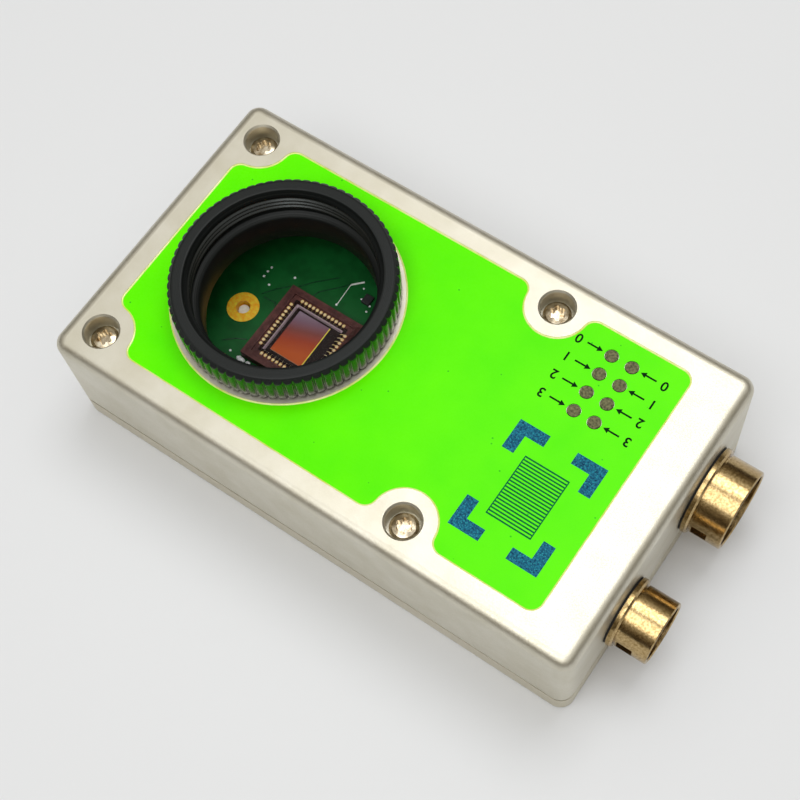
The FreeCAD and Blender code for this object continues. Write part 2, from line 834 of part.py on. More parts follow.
def makeLamps():
    for count, (x, y) in enumerate(lamps, start=1):
        body = newBody("status_window_%d" % count, x, y, 0)
        revolve(body, [
            (0, lampBottom), (S.lampHeadRadius, lampBottom), (S.lampHeadRadius, ceiling),
            (S.lampRadius, ceiling), (S.lampRadius, labelTop), (0, labelTop)])
    boxGroup("status_leds", [
        (x - S.ledWidth / 2, y - S.ledLength / 2, ledBoardTop,
         S.ledWidth, S.ledLength, S.ledHeight) for x, y in lamps])
    rightX, highY = lamps[0]
    leftX, lowY = lamps[-1]
    boardX = leftX - S.ledBoardMargin
    boardY = lowY - S.ledBoardMargin
    box("lamp_board", boardX, boardY, ledBoardBottom,
        rightX + S.ledBoardMargin - boardX, highY + S.ledBoardMargin - boardY,
        S.ledBoardThickness)
    middleX = (leftX + rightX) / 2
    middleY = (lowY + highY) / 2
    box("lamp_header", middleX - S.ledHeaderWidth / 2, middleY - S.ledHeaderLength / 2,
        boardTop, S.ledHeaderWidth, S.ledHeaderLength, ledBoardBottom - boardTop)


def contactSpots(barrelRadius, rows):
    radius = barrelRadius - S.socketThreadStep - S.socketSeatWall - S.contactMargin
    spots = []
    for count in rows:
        for step in range(count):
            turn = 2 * math.pi * step / count
            spots.append((radius * math.cos(turn), radius * math.sin(turn)))
        radius = radius - S.contactRowGap
    return spots


def makeSocket(name, y, barrelRadius, contacts):
    flangeRadius = barrelRadius + S.flangeLipWidth
    threadRadius = barrelRadius - S.socketThreadStep
    mouthRadius = barrelRadius - S.socketWall
    seatRadius = threadRadius - S.socketSeatWall
    shell = newBody(name + "_shell", halfLength, y, socketHeight, turned=True)
    edge = S.flangeChamfer
    lip = S.mouthChamfer
    revolve(shell, [
        (seatRadius, -socketRear), (threadRadius, -socketRear),
        (threadRadius, S.socketGasket), (flangeRadius, S.socketGasket),
        (flangeRadius, socketFace - edge), (flangeRadius - edge, socketFace),
        (barrelRadius - S.neckDepth, socketFace),
        (barrelRadius - S.neckDepth, socketFace + S.neckWidth),
        (barrelRadius, socketFace + S.neckWidth), (barrelRadius, socketMouth - lip),
        (barrelRadius - lip, socketMouth), (mouthRadius + lip, socketMouth),
        (mouthRadius, socketMouth - lip), (mouthRadius, S.mouthFloor),
        (seatRadius, S.mouthFloor)])
    window = newSketch(shell, "XZ_Plane")
    low = socketMouth - S.latchWindowOffset - S.latchWindowLength
    rectangle(window, -S.latchWindowWidth / 2, S.latchWindowWidth / 2,
              low, low + S.latchWindowLength)
    cut = pocket(shell, window, flangeRadius * 2)
    cut.Midplane = True
    doc.recompute()

    gasket = newBody(name + "_gasket", halfLength, y, socketHeight, turned=True)
    inner = threadRadius + S.socketHoleClearance
    outer = flangeRadius - S.socketGasketInset
    revolve(gasket, [(inner, 0), (outer, 0), (outer, S.socketGasket), (inner, S.socketGasket)])

    nut = newBody(name + "_nut", halfLength, y, socketHeight, turned=True)
    inner = threadRadius + S.threadClearance
    outer = threadRadius + S.nutMargin
    revolve(nut, [
        (inner, -S.wallThickness - S.nutThickness), (outer, -S.wallThickness - S.nutThickness),
        (outer, -S.wallThickness), (inner, -S.wallThickness)])

    insert = newBody(name + "_insert", halfLength, y, socketHeight, turned=True)
    block = seatRadius - S.threadClearance
    core = newSketch(insert, height=-insertRear)
    circle(core, 0, 0, block)
    pad(insert, core, insertRear + S.mouthFloor)
    bores = newSketch(insert, height=S.mouthFloor)
    for u, v in contacts:
        circle(bores, u, v, S.contactRadius + S.threadClearance)
    pocket(insert, bores)

    pins = newBody(name + "_contacts", halfLength, y, socketHeight, turned=True, group=True)
    sleeves = newSketch(pins, height=-insertRear)
    for u, v in contacts:
        circle(sleeves, u, v, S.contactRadius)
    pinTop = S.mouthFloor - S.contactRecess
    pad(pins, sleeves, insertRear + pinTop)
    pinBores = newSketch(pins, height=pinTop)
    for u, v in contacts:
        circle(pinBores, u, v, S.contactBoreRadius)
    pocket(pins, pinBores, S.contactBoreDepth)
    tails = newSketch(pins, height=-insertRear)
    for u, v in contacts:
        circle(tails, u, v, S.contactTailRadius)
    tailLength = S.socketBoardGap + S.socketBoardThickness + S.contactTailOut
    pad(pins, tails, tailLength, down=True)


def makeSocketBoard():
    body = newBody("socket_board")
    outline = newSketch(body, "YZ_Plane", socketBoardRear)
    low = smallSocketY - S.smallBarrelRadius - S.socketBoardMargin
    high = largeSocketY + S.largeBarrelRadius + S.socketBoardMargin
    rectangle(outline, low, high, S.boardHeight, socketHeight + largeThreadRadius)
    pad(body, outline, S.socketBoardThickness)
    holes = newSketch(body, "YZ_Plane", socketBoardFront)
    radius = S.contactTailRadius + S.threadClearance
    for centreY, contacts in ((largeSocketY, largeContacts), (smallSocketY, smallContacts)):
        for u, v in contacts:
            circle(holes, centreY + v, socketHeight - u, radius)
    pocket(body, holes)
    linkLow = smallSocketY + smallThreadRadius
    linkHigh = largeSocketY - largeThreadRadius
    box("board_link", socketBoardRear - S.linkWidth, linkLow, boardTop,
        S.linkWidth, linkHigh - linkLow, S.linkHeight)


def makeParts():
    makeShell()
    makeTray()
    makeSeamGasket()
    makeLabel()
    makeRing()
    makeShim()
    makeCoverScrews()
    makeMainBoard()
    makeHolePlating()
    makeBoardScrews()
    makeSensor()
    makeChips()
    makeLamps()
    makeSocket("large_socket", largeSocketY, S.largeBarrelRadius, largeContacts)
    makeSocket("small_socket", smallSocketY, S.smallBarrelRadius, smallContacts)
    makeSocketBoard()


largeContacts = contactSpots(S.largeBarrelRadius, (9, 3))
smallContacts = contactSpots(S.smallBarrelRadius, (6,))


def check():
    doc.recompute()
    for item in doc.Objects:
        if "Invalid" in item.State or "Error" in item.State:
            raise ValueError("%s is %s" % (item.Name, item.State))
    for part in parts:
        if part.Shape.isNull() or not part.Shape.isValid():
            raise ValueError("%s has no valid shape" % part.Label)


makeParts()
check()
os.makedirs("parts", exist_ok=True)
for part in parts:
    part.Shape.exportStep("parts/%s.step" % part.Label)
print("%d parts, %.1f cm3" % (len(parts), sum(part.Shape.Volume for part in parts) / 1000))
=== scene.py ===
import math

import bmesh
import bpy
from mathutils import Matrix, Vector


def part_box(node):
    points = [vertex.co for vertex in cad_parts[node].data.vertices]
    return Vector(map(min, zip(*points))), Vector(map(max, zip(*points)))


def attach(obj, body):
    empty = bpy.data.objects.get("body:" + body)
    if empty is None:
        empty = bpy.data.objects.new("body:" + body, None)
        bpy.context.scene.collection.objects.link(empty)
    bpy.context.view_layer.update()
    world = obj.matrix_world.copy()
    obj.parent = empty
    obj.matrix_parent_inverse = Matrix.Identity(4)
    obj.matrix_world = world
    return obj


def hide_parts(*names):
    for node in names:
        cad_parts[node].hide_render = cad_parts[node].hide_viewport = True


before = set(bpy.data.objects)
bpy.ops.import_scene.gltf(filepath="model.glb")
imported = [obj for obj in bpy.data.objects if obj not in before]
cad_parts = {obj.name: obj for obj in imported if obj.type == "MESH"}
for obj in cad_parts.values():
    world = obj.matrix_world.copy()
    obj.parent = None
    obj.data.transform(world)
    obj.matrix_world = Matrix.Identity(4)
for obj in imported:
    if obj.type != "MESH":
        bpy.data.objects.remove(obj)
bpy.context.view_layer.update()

mm = 0.001

# places that several pieces share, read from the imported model
ringLow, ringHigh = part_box("mount_ring")
lensX = (ringLow.x + ringHigh.x) / 2
dieLow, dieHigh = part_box("sensor_die")
padLow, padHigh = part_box("bond_pads")
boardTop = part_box("main_board")[1].z
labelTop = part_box("face_label")[1].z
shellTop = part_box("housing_shell")[1].z


def hexColour(text):
    # sRGB hex to the linear colour that shaders use
    channels = [int(text[i:i + 2], 16) / 255 for i in (1, 3, 5)]
    return [c / 12.92 if c <= 0.04045 else ((c + 0.055) / 1.055) ** 2.4 for c in channels] + [1.0]


def addNode(tree, kind, inputs=(), **settings):
    node = tree.nodes.new("ShaderNode" + kind)
    for name, value in settings.items():
        setattr(node, name, value)
    for name, value in dict(inputs).items():
        if isinstance(value, bpy.types.NodeSocket):
            tree.links.new(value, node.inputs[name])
        else:
            node.inputs[name].default_value = value
    return node


def newMaterial(name):
    material = bpy.data.materials.new(name)
    material.use_nodes = True
    return material, material.node_tree, material.node_tree.nodes["Principled BSDF"]


def newObject(name, data):
    item = bpy.data.objects.new(name, data)
    bpy.context.collection.objects.link(item)
    return item


def newMesh(name, points, faces, finish, body="housing", smooth=False):
    mesh = bpy.data.meshes.new(name)
    mesh.from_pydata([tuple(p) for p in points], [], faces)
    tidy = bmesh.new()
    tidy.from_mesh(mesh)
    bmesh.ops.recalc_face_normals(tidy, faces=tidy.faces)
    tidy.to_mesh(mesh)
    tidy.free()
    mesh.materials.append(materials[finish])
    for face in mesh.polygons:
        face.use_smooth = smooth
    piece = newObject(name, mesh)
    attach(piece, body)
    return piece


def addBlock(points, faces, outline, low, high):
    # an upright block on a closed outline of (x, y) points
    first, count = len(points), len(outline)
    points += [(x, y, low) for x, y in outline] + [(x, y, high) for x, y in outline]
    faces.append([first + i for i in reversed(range(count))])
    faces.append([first + count + i for i in range(count)])
    for i in range(count):
        j = (i + 1) % count
        faces.append([first + i, first + j, first + count + j, first + count + i])


def addDome(points, faces, rows):
    # a closed lathe-like body through rows of points, lowest row first
    first, around = len(points), len(rows[0])
    for row in rows:
        points += row
    for step in range(len(rows) - 1):
        low, high = first + step * around, first + (step + 1) * around
        for i in range(around):
            j = (i + 1) % around
            faces.append([low + i, low + j, high + j, high + i])
    faces.append([first + i for i in reversed(range(around))])
    faces.append([first + (len(rows) - 1) * around + i for i in range(around)])


def addTube(faces, around, count):
    # faces between sections of count points each, closed on itself round the way
    for i in range(around):
        here, after = i * count, (i + 1) % around * count
        for j in range(count):
            k = (j + 1) % count
            faces.append([here + j, after + j, after + k, here + k])


def rectOutline(x0, y0, x1, y1):
    return [(x0, y0), (x1, y0), (x1, y1), (x0, y1)]


def ovalOutline(x, y, long, wide, count):
    turns = [2 * math.pi * i / count for i in range(count)]
    return [(x + long * math.cos(turn), y + wide * math.sin(turn)) for turn in turns]


def ovalRow(x, y, height, long, wide, count):
    return [(u, v, height) for u, v in ovalOutline(x, y, long, wide, count)]


def barOutline(start, end, width):
    start, end = Vector(start) * mm, Vector(end) * mm
    along = (end - start).normalized()
    side = Vector((-along.y, along.x)) * width * mm / 2
    return [start - side, end - side, end + side, start + side]


def makeFinish(name, look):
    # two mottled colours, fine specks, a grain that moves the roughness and a bump of real size
    material, tree, shader = newMaterial(name)
    place = addNode(tree, "TexCoord").outputs["Object"]
    if "stretch" in look:
        place = addNode(tree, "Mapping", {
            "Vector": place, "Scale": look["stretch"]}).outputs["Vector"]
    mottle = addNode(tree, "TexNoise", {
        "Vector": place, "Scale": 1 / (look["mottleMm"] * mm), "Detail": 3.0, "Roughness": 0.55})
    spread = addNode(tree, "MapRange", {
        "Value": mottle.outputs["Fac"], "From Min": 0.3, "From Max": 0.7})
    colour = addNode(tree, "Mix", {
        0: spread.outputs["Result"], 6: hexColour(look["colours"][0]),
        7: hexColour(look["colours"][1])}, data_type="RGBA").outputs[2]
    if "specks" in look:
        cells = addNode(tree, "TexVoronoi", {
            "Vector": place, "Scale": 1 / (look["specks"]["spacingMm"] * mm)})
        share = look["specks"]["sizeMm"] / look["specks"]["spacingMm"]
        near = addNode(tree, "MapRange", {
            "Value": cells.outputs["Distance"], "From Min": share * 0.6, "From Max": share})
        colour = addNode(tree, "Mix", {
            0: near.outputs["Result"], 6: hexColour(look["specks"]["colour"]), 7: colour},
            data_type="RGBA").outputs[2]
    grain = addNode(tree, "TexNoise", {
        "Vector": place, "Scale": 1 / (look["grainMm"] * mm), "Detail": 2.0, "Roughness": 0.6})
    dull = addNode(tree, "MapRange", {
        "Value": grain.outputs["Fac"], "From Min": 0.3, "From Max": 0.7,
        "To Min": look["roughness"][0], "To Max": look["roughness"][1]})
    bump = addNode(tree, "Bump", {
        "Height": grain.outputs["Fac"], "Distance": look["bumpMm"] * mm, "Strength": 1.0})
    tree.links.new(colour, shader.inputs["Base Color"])
    tree.links.new(dull.outputs["Result"], shader.inputs["Roughness"])
    tree.links.new(bump.outputs["Normal"], shader.inputs["Normal"])
    for socket, value in look.get("shader", {}).items():
        shader.inputs[socket].default_value = value
    return material


finishes = {
    # bead-blasted, clear anodised aluminium: soft warm silver with a faint grain
    "blastedAluminium": {
        "colours": ("#CDC8B6", "#D8D4C6"), "mottleMm": 5.0, "grainMm": 0.2,
        "roughness": (0.36, 0.5), "bumpMm": 0.012, "shader": {"Metallic": 0.95}},
    # milled and anodised tray: the same metal, finer and a shade darker
    "milledAluminium": {
        "colours": ("#CAC3AE", "#D6CFBD"), "mottleMm": 6.0, "grainMm": 0.18,
        "roughness": (0.34, 0.46), "bumpMm": 0.004, "stretch": (0.15, 1.0, 1.0),
        "shader": {"Metallic": 0.95}},
    # printed polyester film: saturated green, its shine turned down so that no haze lies on it
    "printedGreenFilm": {
        "colours": ("#5CF800", "#68FF00"), "mottleMm": 9.0, "grainMm": 0.4,
        "roughness": (0.24, 0.32), "bumpMm": 0.001,
        "specks": {"spacingMm": 2.4, "sizeMm": 0.15, "colour": "#34C81A"},
        "shader": {"IOR": 1.5, "Specular IOR Level": 0.05}},
    # sealing lacquer along the film's edge: a glossy line whose pale colour is a painted
    # highlight
    "lacquerPaintedHighlight": {
        "colours": ("#D8E858", "#F4FBA8"), "mottleMm": 2.5, "grainMm": 0.6,
        "roughness": (0.12, 0.22), "bumpMm": 0.01,
        "shader": {"IOR": 1.5, "Coat Weight": 0.6, "Coat Roughness": 0.1}},
    # screen-printed inks on the film, slightly open where the screen's mesh stood
    "blueInk": {
        "colours": ("#01264A", "#2384A0"), "mottleMm": 0.24, "grainMm": 0.3,
        "roughness": (0.5, 0.62), "bumpMm": 0.004,
        "specks": {"spacingMm": 0.3, "sizeMm": 0.1, "colour": "#2C98A6"},
        "shader": {"IOR": 1.5, "Specular IOR Level": 0.1}},
    "tealInk": {
        "colours": ("#036036", "#067A44"), "mottleMm": 0.3, "grainMm": 0.3,
        "roughness": (0.5, 0.62), "bumpMm": 0.004,
        "shader": {"IOR": 1.5, "Specular IOR Level": 0.05}},
    # open screen under the hatching: the film shows through a thin teal film
    "tintInk": {
        "colours": ("#12E04A", "#2AF268"), "mottleMm": 0.6, "grainMm": 0.3,
        "roughness": (0.5, 0.62), "bumpMm": 0.002,
        "shader": {"IOR": 1.5, "Specular IOR Level": 0.08}},
    "darkInk": {
        "colours": ("#021A08", "#06300E"), "mottleMm": 0.4, "grainMm": 0.3,
        "roughness": (0.5, 0.62), "bumpMm": 0.003,
        "shader": {"IOR": 1.5, "Specular IOR Level": 0.05}},
    # nitrile cord between shell and tray, matt black
    "blackRubber": {
        "colours": ("#0B0A09", "#14120F"), "mottleMm": 1.5, "grainMm": 0.2,
        "roughness": (0.65, 0.8), "bumpMm": 0.01, "shader": {"IOR": 1.52}},
    # immersion gold over nickel: satin warm yellow; barely metallic, so it stays light in shade
    "platedGold": {
        "colours": ("#FFAA04", "#FFE040"), "mottleMm": 0.4, "grainMm": 0.12,
        "roughness": (0.3, 0.45), "bumpMm": 0.016, "shader": {"Metallic": 0.1}},
    # gold balls and wires of the bonds: their cream tone is a painted glint on the gold, and they
    # are not metallic for the same reason
    "bondGoldPaintedGlint": {
        "colours": ("#FFDE8C", "#FFF3C8"), "mottleMm": 0.5, "grainMm": 0.08,
        "roughness": (0.3, 0.45), "bumpMm": 0.003, "shader": {"Metallic": 0.0}},
    # the pads beneath them: thin gold that stays amber in the shade
    "padGold": {
        "colours": ("#D98A12", "#FFB93A"), "mottleMm": 0.5, "grainMm": 0.08,
        "roughness": (0.35, 0.5), "bumpMm": 0.003, "shader": {"Metallic": 0.2}},
    # co-fired ceramic package: brown with a mauve cast, finely granular
    "brownCeramic": {
        "colours": ("#44201C", "#643832"), "mottleMm": 0.9, "grainMm": 0.1,
        "roughness": (0.5, 0.66), "bumpMm": 0.006,
        "specks": {"spacingMm": 0.5, "sizeMm": 0.05, "colour": "#8A4F48"},
        "shader": {"IOR": 1.6, "Specular IOR Level": 0.25}},
    # silicon with its logic under the passivation: black with a brown glow
    "darkSilicon": {
        "colours": ("#140A08", "#26140F"), "mottleMm": 0.5, "grainMm": 0.1,
        "roughness": (0.2, 0.3), "bumpMm": 0.001,
        "shader": {"IOR": 1.5, "Specular IOR Level": 0.15}},
    # aluminium wiring along the die's edge: mauve strips
    "dieMetal": {
        "colours": ("#9C8289", "#C0AAB0"), "mottleMm": 0.25, "grainMm": 0.1,
        "roughness": (0.3, 0.44), "bumpMm": 0.002,
        "shader": {"IOR": 1.5, "Specular IOR Level": 0.25}},
    # edge of the filter stack: a bright yellow line
    "filterEdge": {
        "colours": ("#F4D80A", "#FFF048"), "mottleMm": 0.6, "grainMm": 0.1,
        "roughness": (0.25, 0.35), "bumpMm": 0.001, "shader": {"IOR": 1.6}},
    # black die-attach epoxy; the same black paints the shadow round the die's well
    "blackEpoxy": {
        "colours": ("#0C0503", "#1A0B07"), "mottleMm": 0.8, "grainMm": 0.12,
        "roughness": (0.4, 0.55), "bumpMm": 0.008,
        "shader": {"IOR": 1.55, "Specular IOR Level": 0.12}},
    # moulded chip body, fine matt texture
    "mouldedEpoxy": {
        "colours": ("#141516", "#202122"), "mottleMm": 1.2, "grainMm": 0.12,
        "roughness": (0.5, 0.65), "bumpMm": 0.008, "shader": {"IOR": 1.55}},
    # silicone gap filler, soft grey
    "siliconePad": {
        "colours": ("#8A8C90", "#9A9CA0"), "mottleMm": 1.5, "grainMm": 0.25,
        "roughness": (0.7, 0.85), "bumpMm": 0.02, "shader": {"IOR": 1.41}},
    # sintered capacitor bodies, tan
    "tanCeramic": {
        "colours": ("#8C6A48", "#A5825C"), "mottleMm": 0.8, "grainMm": 0.15,
        "roughness": (0.45, 0.6), "bumpMm": 0.006, "shader": {"IOR": 1.6}},
    # tinned solder: bright and uneven, not metallic so that it stays white in the shade
    "solder": {
        "colours": ("#E2E4E6", "#FBFBFB"), "mottleMm": 0.4, "grainMm": 0.2,
        "roughness": (0.18, 0.34), "bumpMm": 0.01, "shader": {"Metallic": 0.0}},
    # tumbled stainless screws: bright, mottled with a warm brown that is a painted reflection of
    # a dim warm room
    "stainlessPaintedReflection": {
        "colours": ("#8E7A5A", "#E2D7C0"), "mottleMm": 0.9, "grainMm": 0.2,
        "roughness": (0.12, 0.24), "bumpMm": 0.008, "shader": {"Metallic": 1.0}},
    # smoky acrylic light pipes, sanded on the end: grey brown with a fine grit
    "smokyAcrylic": {
        "colours": ("#34371C", "#85835C"), "mottleMm": 0.3, "grainMm": 0.15,
        "roughness": (0.45, 0.6), "bumpMm": 0.01,
        "shader": {"IOR": 1.49, "Specular IOR Level": 0.2}},
    # moulded lamp bodies, milky white
    "milkyResin": {
        "colours": ("#E6E4D8", "#F2F0E6"), "mottleMm": 0.8, "grainMm": 0.2,
        "roughness": (0.3, 0.42), "bumpMm": 0.004, "shader": {"IOR": 1.53}},
    # black glass-filled nylon and PPS, slight flow marks
    "blackNylon": {
        "colours": ("#141414", "#1D1D1E"), "mottleMm": 2.0, "grainMm": 0.2,
        "roughness": (0.42, 0.58), "bumpMm": 0.01, "shader": {"IOR": 1.53}},
    # turned brass with matt nickel plating: champagne, with a fine sparkle
    "champagneNickel": {
        "colours": ("#8F7648", "#CDB384"), "mottleMm": 0.3, "grainMm": 0.1,
        "roughness": (0.16, 0.25), "bumpMm": 0.004, "shader": {"Metallic": 1.0}},
    # clear solder mask over copper: raised tracks look darker than the open mask
    "maskedTrack": {
        "colours": ("#063C1C", "#084822"), "mottleMm": 1.0, "grainMm": 0.2,
        "roughness": (0.25, 0.36), "bumpMm": 0.004, "shader": {"IOR": 1.55}},
    # white component print on the board
    "whiteInk": {
        "colours": ("#D8DDD4", "#F4F6F0"), "mottleMm": 0.5, "grainMm": 0.15,
        "roughness": (0.5, 0.65), "bumpMm": 0.004, "shader": {"IOR": 1.5}},
    # anti-reflection coated cover glass: nearly nothing but a weak gloss
    "coverGlass": {
        "colours": ("#020303", "#040505"), "mottleMm": 5.0, "grainMm": 1.0,
        "roughness": (0.03, 0.05), "bumpMm": 0.0, "shader": {"IOR": 1.5, "Alpha": 0.05}},
    # white nylon pin that locates the board; its white is painted light at the bottom of the
    # plated hole, which the lamps leave dark
    "pinPaintedLight": {
        "colours": ("#E4E0D2", "#F6F3E8"), "mottleMm": 0.6, "grainMm": 0.15,
        "roughness": (0.4, 0.5), "bumpMm": 0.006, "shader": {"IOR": 1.53}},
}
materials = {name: makeFinish(name, look) for name, look in finishes.items()}

turnedBlack = {
    "blackAnodised": {
        "colours": ("#101313", "#222625"), "markMm": 0.2, "grainMm": 0.14, "bumpMm": 0.016,
        "roughness": (0.42, 0.58), "metallic": 0.25, "coat": 0.0, "gloss": 0.3},
    # the knurl is rolled, which leaves its ribs glossier than the turned faces; their lighter
    # colour is a painted sheen
    "blackAnodisedRibs": {
        "colours": ("#3C423E", "#5A615C"), "markMm": 0.3, "grainMm": 0.2, "bumpMm": 0.002,
        "roughness": (0.24, 0.36), "metallic": 0.85, "coat": 0.05},
    # the threads take a lighter, glossier copy of the black finish: a painted sheen that shows
    # them as thin light lines
    "blackAnodisedThread": {
        "colours": ("#282B2B", "#3E4343"), "markMm": 0.3, "grainMm": 0.25, "bumpMm": 0.001,
        "roughness": (0.2, 0.3), "metallic": 0.7, "coat": 0.2},
    # the bore under the thread is turned smoother, and coloured darker than the face as painted
    # shade deep in the ring
    "blackAnodisedBore": {
        "colours": ("#0D0D0D", "#161616"), "markMm": 0.3, "grainMm": 0.3, "bumpMm": 0.001,
        "roughness": (0.45, 0.55), "metallic": 0.1, "coat": 0.0},
}


def makeTurnedBlack(name, look):
    # hard anodised aluminium, turned: concentric tool marks give a fine satin streak
    material, tree, shader = newMaterial(name)
    place = addNode(tree, "Mapping", {
        "Vector": addNode(tree, "TexCoord").outputs["Object"],
        "Location": (-lensX, 0.0, 0.0)}).outputs["Vector"]
    # a wave of scale 1 repeats about every 0.31 of a unit
    waveSpan = 0.31
    marks = addNode(tree, "TexWave", {
        "Vector": place, "Scale": waveSpan / (look["markMm"] * mm), "Distortion": 1.2,
        "Detail": 2.0, "Detail Scale": 2.0}, wave_type="RINGS", rings_direction="Z")
    grain = addNode(tree, "TexNoise", {
        "Vector": place, "Scale": 1 / (look["grainMm"] * mm), "Detail": 3.0})
    both = addNode(tree, "Math", {
        0: marks.outputs["Fac"], 1: grain.outputs["Fac"]}, operation="MULTIPLY")
    colour = addNode(tree, "Mix", {
        0: grain.outputs["Fac"], 6: hexColour(look["colours"][0]),
        7: hexColour(look["colours"][1])}, data_type="RGBA")
    dull = addNode(tree, "MapRange", {
        "Value": both.outputs["Value"], "To Min": look["roughness"][0],
        "To Max": look["roughness"][1]})
    bump = addNode(tree, "Bump", {
        "Height": both.outputs["Value"], "Distance": look["bumpMm"] * mm, "Strength": 1.0})
    tree.links.new(colour.outputs[2], shader.inputs["Base Color"])
    tree.links.new(dull.outputs["Result"], shader.inputs["Roughness"])
    tree.links.new(bump.outputs["Normal"], shader.inputs["Normal"])
    shader.inputs["Metallic"].default_value = look["metallic"]
    shader.inputs["Coat Weight"].default_value = look["coat"]
    shader.inputs["Coat Roughness"].default_value = 0.25
    shader.inputs["Specular IOR Level"].default_value = look.get("gloss", 0.5)
    return material


solderMask = {
    "mask": "#0B5221", "copper": "#105F28", "areaMm": 2.6, "weaveMm": 0.5, "bumpMm": 0.003,
    "shader": {"Roughness": 0.45, "IOR": 1.5, "Specular IOR Level": 0.2},
}


def makeSolderMask(look):
    # green solder mask over a glass weave: a soft sheen with cloudy copper areas beneath
    material, tree, shader = newMaterial("greenSolderMask")
    place = addNode(tree, "TexCoord").outputs["Object"]
    areas = addNode(tree, "TexNoise", {
        "Vector": place, "Scale": 1 / (look["areaMm"] * mm), "Detail": 2.0})
    step = addNode(tree, "MapRange", {
        "Value": areas.outputs["Fac"], "From Min": 0.4, "From Max": 0.6})
    colour = addNode(tree, "Mix", {
        0: step.outputs["Result"], 6: hexColour(look["copper"]),
        7: hexColour(look["mask"])}, data_type="RGBA")
    weave = addNode(tree, "TexChecker", {"Vector": place, "Scale": 1 / (look["weaveMm"] * mm)})
    bump = addNode(tree, "Bump", {
        "Height": weave.outputs["Fac"], "Distance": look["bumpMm"] * mm, "Strength": 0.4})
    tree.links.new(colour.outputs[2], shader.inputs["Base Color"])
    tree.links.new(bump.outputs["Normal"], shader.inputs["Normal"])
    for socket, value in look["shader"].items():
        shader.inputs[socket].default_value = value
    return material


# colours of the pixel array: a painted reflection, the micro-lenses' diffraction colours laid on
# as a fixed gradient
lensPaintedReflection = {
    "stops": ((0.0, "#C4550F"), (0.3, "#A93E16"), (0.55, "#82413A"), (0.78, "#7E6070"),
              (1.0, "#93808F")),
    "slant": -0.25, "roughness": 0.28, "specularLevel": 0.25,
}


def makePixelArray(look):
    # micro-lens film over the photodiodes: the fixed drift from violet grey to copper red is a
    # painted reflection of the lenses' diffraction colours
    material, tree, shader = newMaterial("microLensFilm")
    place = addNode(tree, "TexCoord").outputs["Generated"]
    axes = addNode(tree, "SeparateXYZ", {"Vector": place})
    slope = addNode(tree, "Math", {
        0: axes.outputs["X"], 1: look["slant"]}, operation="MULTIPLY")
    along = addNode(tree, "Math", {
        0: axes.outputs["Y"], 1: slope.outputs["Value"]}, operation="ADD")
    ramp = addNode(tree, "ValToRGB", {"Fac": along.outputs["Value"]})
    stops = ramp.color_ramp.elements
    stops[0].position, stops[0].color = 0.0, hexColour(look["stops"][0][1])
    stops[1].position, stops[1].color = 1.0, hexColour(look["stops"][-1][1])
    for position, tone in look["stops"][1:-1]:
        stops.new(position).color = hexColour(tone)
    tree.links.new(ramp.outputs["Color"], shader.inputs["Base Color"])
    shader.inputs["Roughness"].default_value = look["roughness"]
    shader.inputs["Specular IOR Level"].default_value = look["specularLevel"]
    return material


for name, look in turnedBlack.items():
    materials[name] = makeTurnedBlack(name, look)
materials["greenSolderMask"] = makeSolderMask(solderMask)
materials["microLensFilm"] = makePixelArray(lensPaintedReflection)
print("materials made:", len(materials))

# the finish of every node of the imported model, by its name or its name without a number
nodeFinishes = {
    "housing_shell": "blastedAluminium", "base_plate": "milledAluminium",
    "seam_gasket": "blackRubber", "face_label": "printedGreenFilm",
    "mount_ring": "blackAnodised", "focus_shim": "stainlessPaintedReflection",
    "cover_screw": "stainlessPaintedReflection", "board_screw": "stainlessPaintedReflection",
    "main_board": "greenSolderMask", "lamp_board": "greenSolderMask",
    "socket_board": "greenSolderMask", "hole_plating": "platedGold",
    "sensor_package": "brownCeramic", "sensor_die": "darkSilicon",
    "sensor_glass": "coverGlass", "bond_pads": "padGold", "processor": "mouldedEpoxy",
    "thermal_pad": "siliconePad", "memory_chip": "mouldedEpoxy", "network_chip": "mouldedEpoxy",
    "power_inductor": "mouldedEpoxy", "capacitors": "tanCeramic",
    "status_window": "smokyAcrylic", "status_leds": "milkyResin", "lamp_header": "blackNylon",
    "board_link": "blackNylon", "large_socket_shell": "champagneNickel",
    "small_socket_shell": "champagneNickel", "large_socket_nut": "champagneNickel",
    "small_socket_nut": "champagneNickel", "large_socket_gasket": "blackRubber",
    "small_socket_gasket": "blackRubber", "large_socket_insert": "blackNylon",
    "small_socket_insert": "blackNylon", "large_socket_contacts": "platedGold",
    "small_socket_contacts": "platedGold",
}
for node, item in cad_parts.items():
    stem = node.rstrip("0123456789").rstrip("_")
    finish = materials[nodeFinishes.get(node) or nodeFinishes[stem]]
    for place in item.material_slots:
        place.material = finish
    if not item.material_slots:
        item.data.materials.append(finish)
print("finishes given to", len(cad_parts), "nodes")

# knurled spacer ring with its threads: radii, and depths below its face, in mm
mountRing = {
    "flutes": 74, "samplesPerFlute": 10, "fluteDepth": 0.42, "crestShape": 4.5,
    "height": 4.8, "outerRadius": 15.0, "edgeChamfer": 0.5, "footChamfer": 0.16,
    "edgeBreak": 0.07,
    "faceInner": 12.98, "bandRadius": 12.94, "bandDepth": 0.75, "leadDepth": 1.2,
    "pitch": 0.79375, "threadRoot": 12.66, "threadCrest": 12.28, "threadStep": 0.066,
    "threadDepth": 3.7, "reliefRadius": 12.56, "ledgeRadius": 12.32, "ledgeDepth": 4.4,
    "boreRadius": 11.7, "boreDepth": 4.9,
    "noseRadius": 12.62, "noseRoot": 12.25, "noseGroove": 0.7,
    "heightSteps": 6, "chamferSteps": 4, "flankSlope": 1.4, "flankShift": 0.2,
}


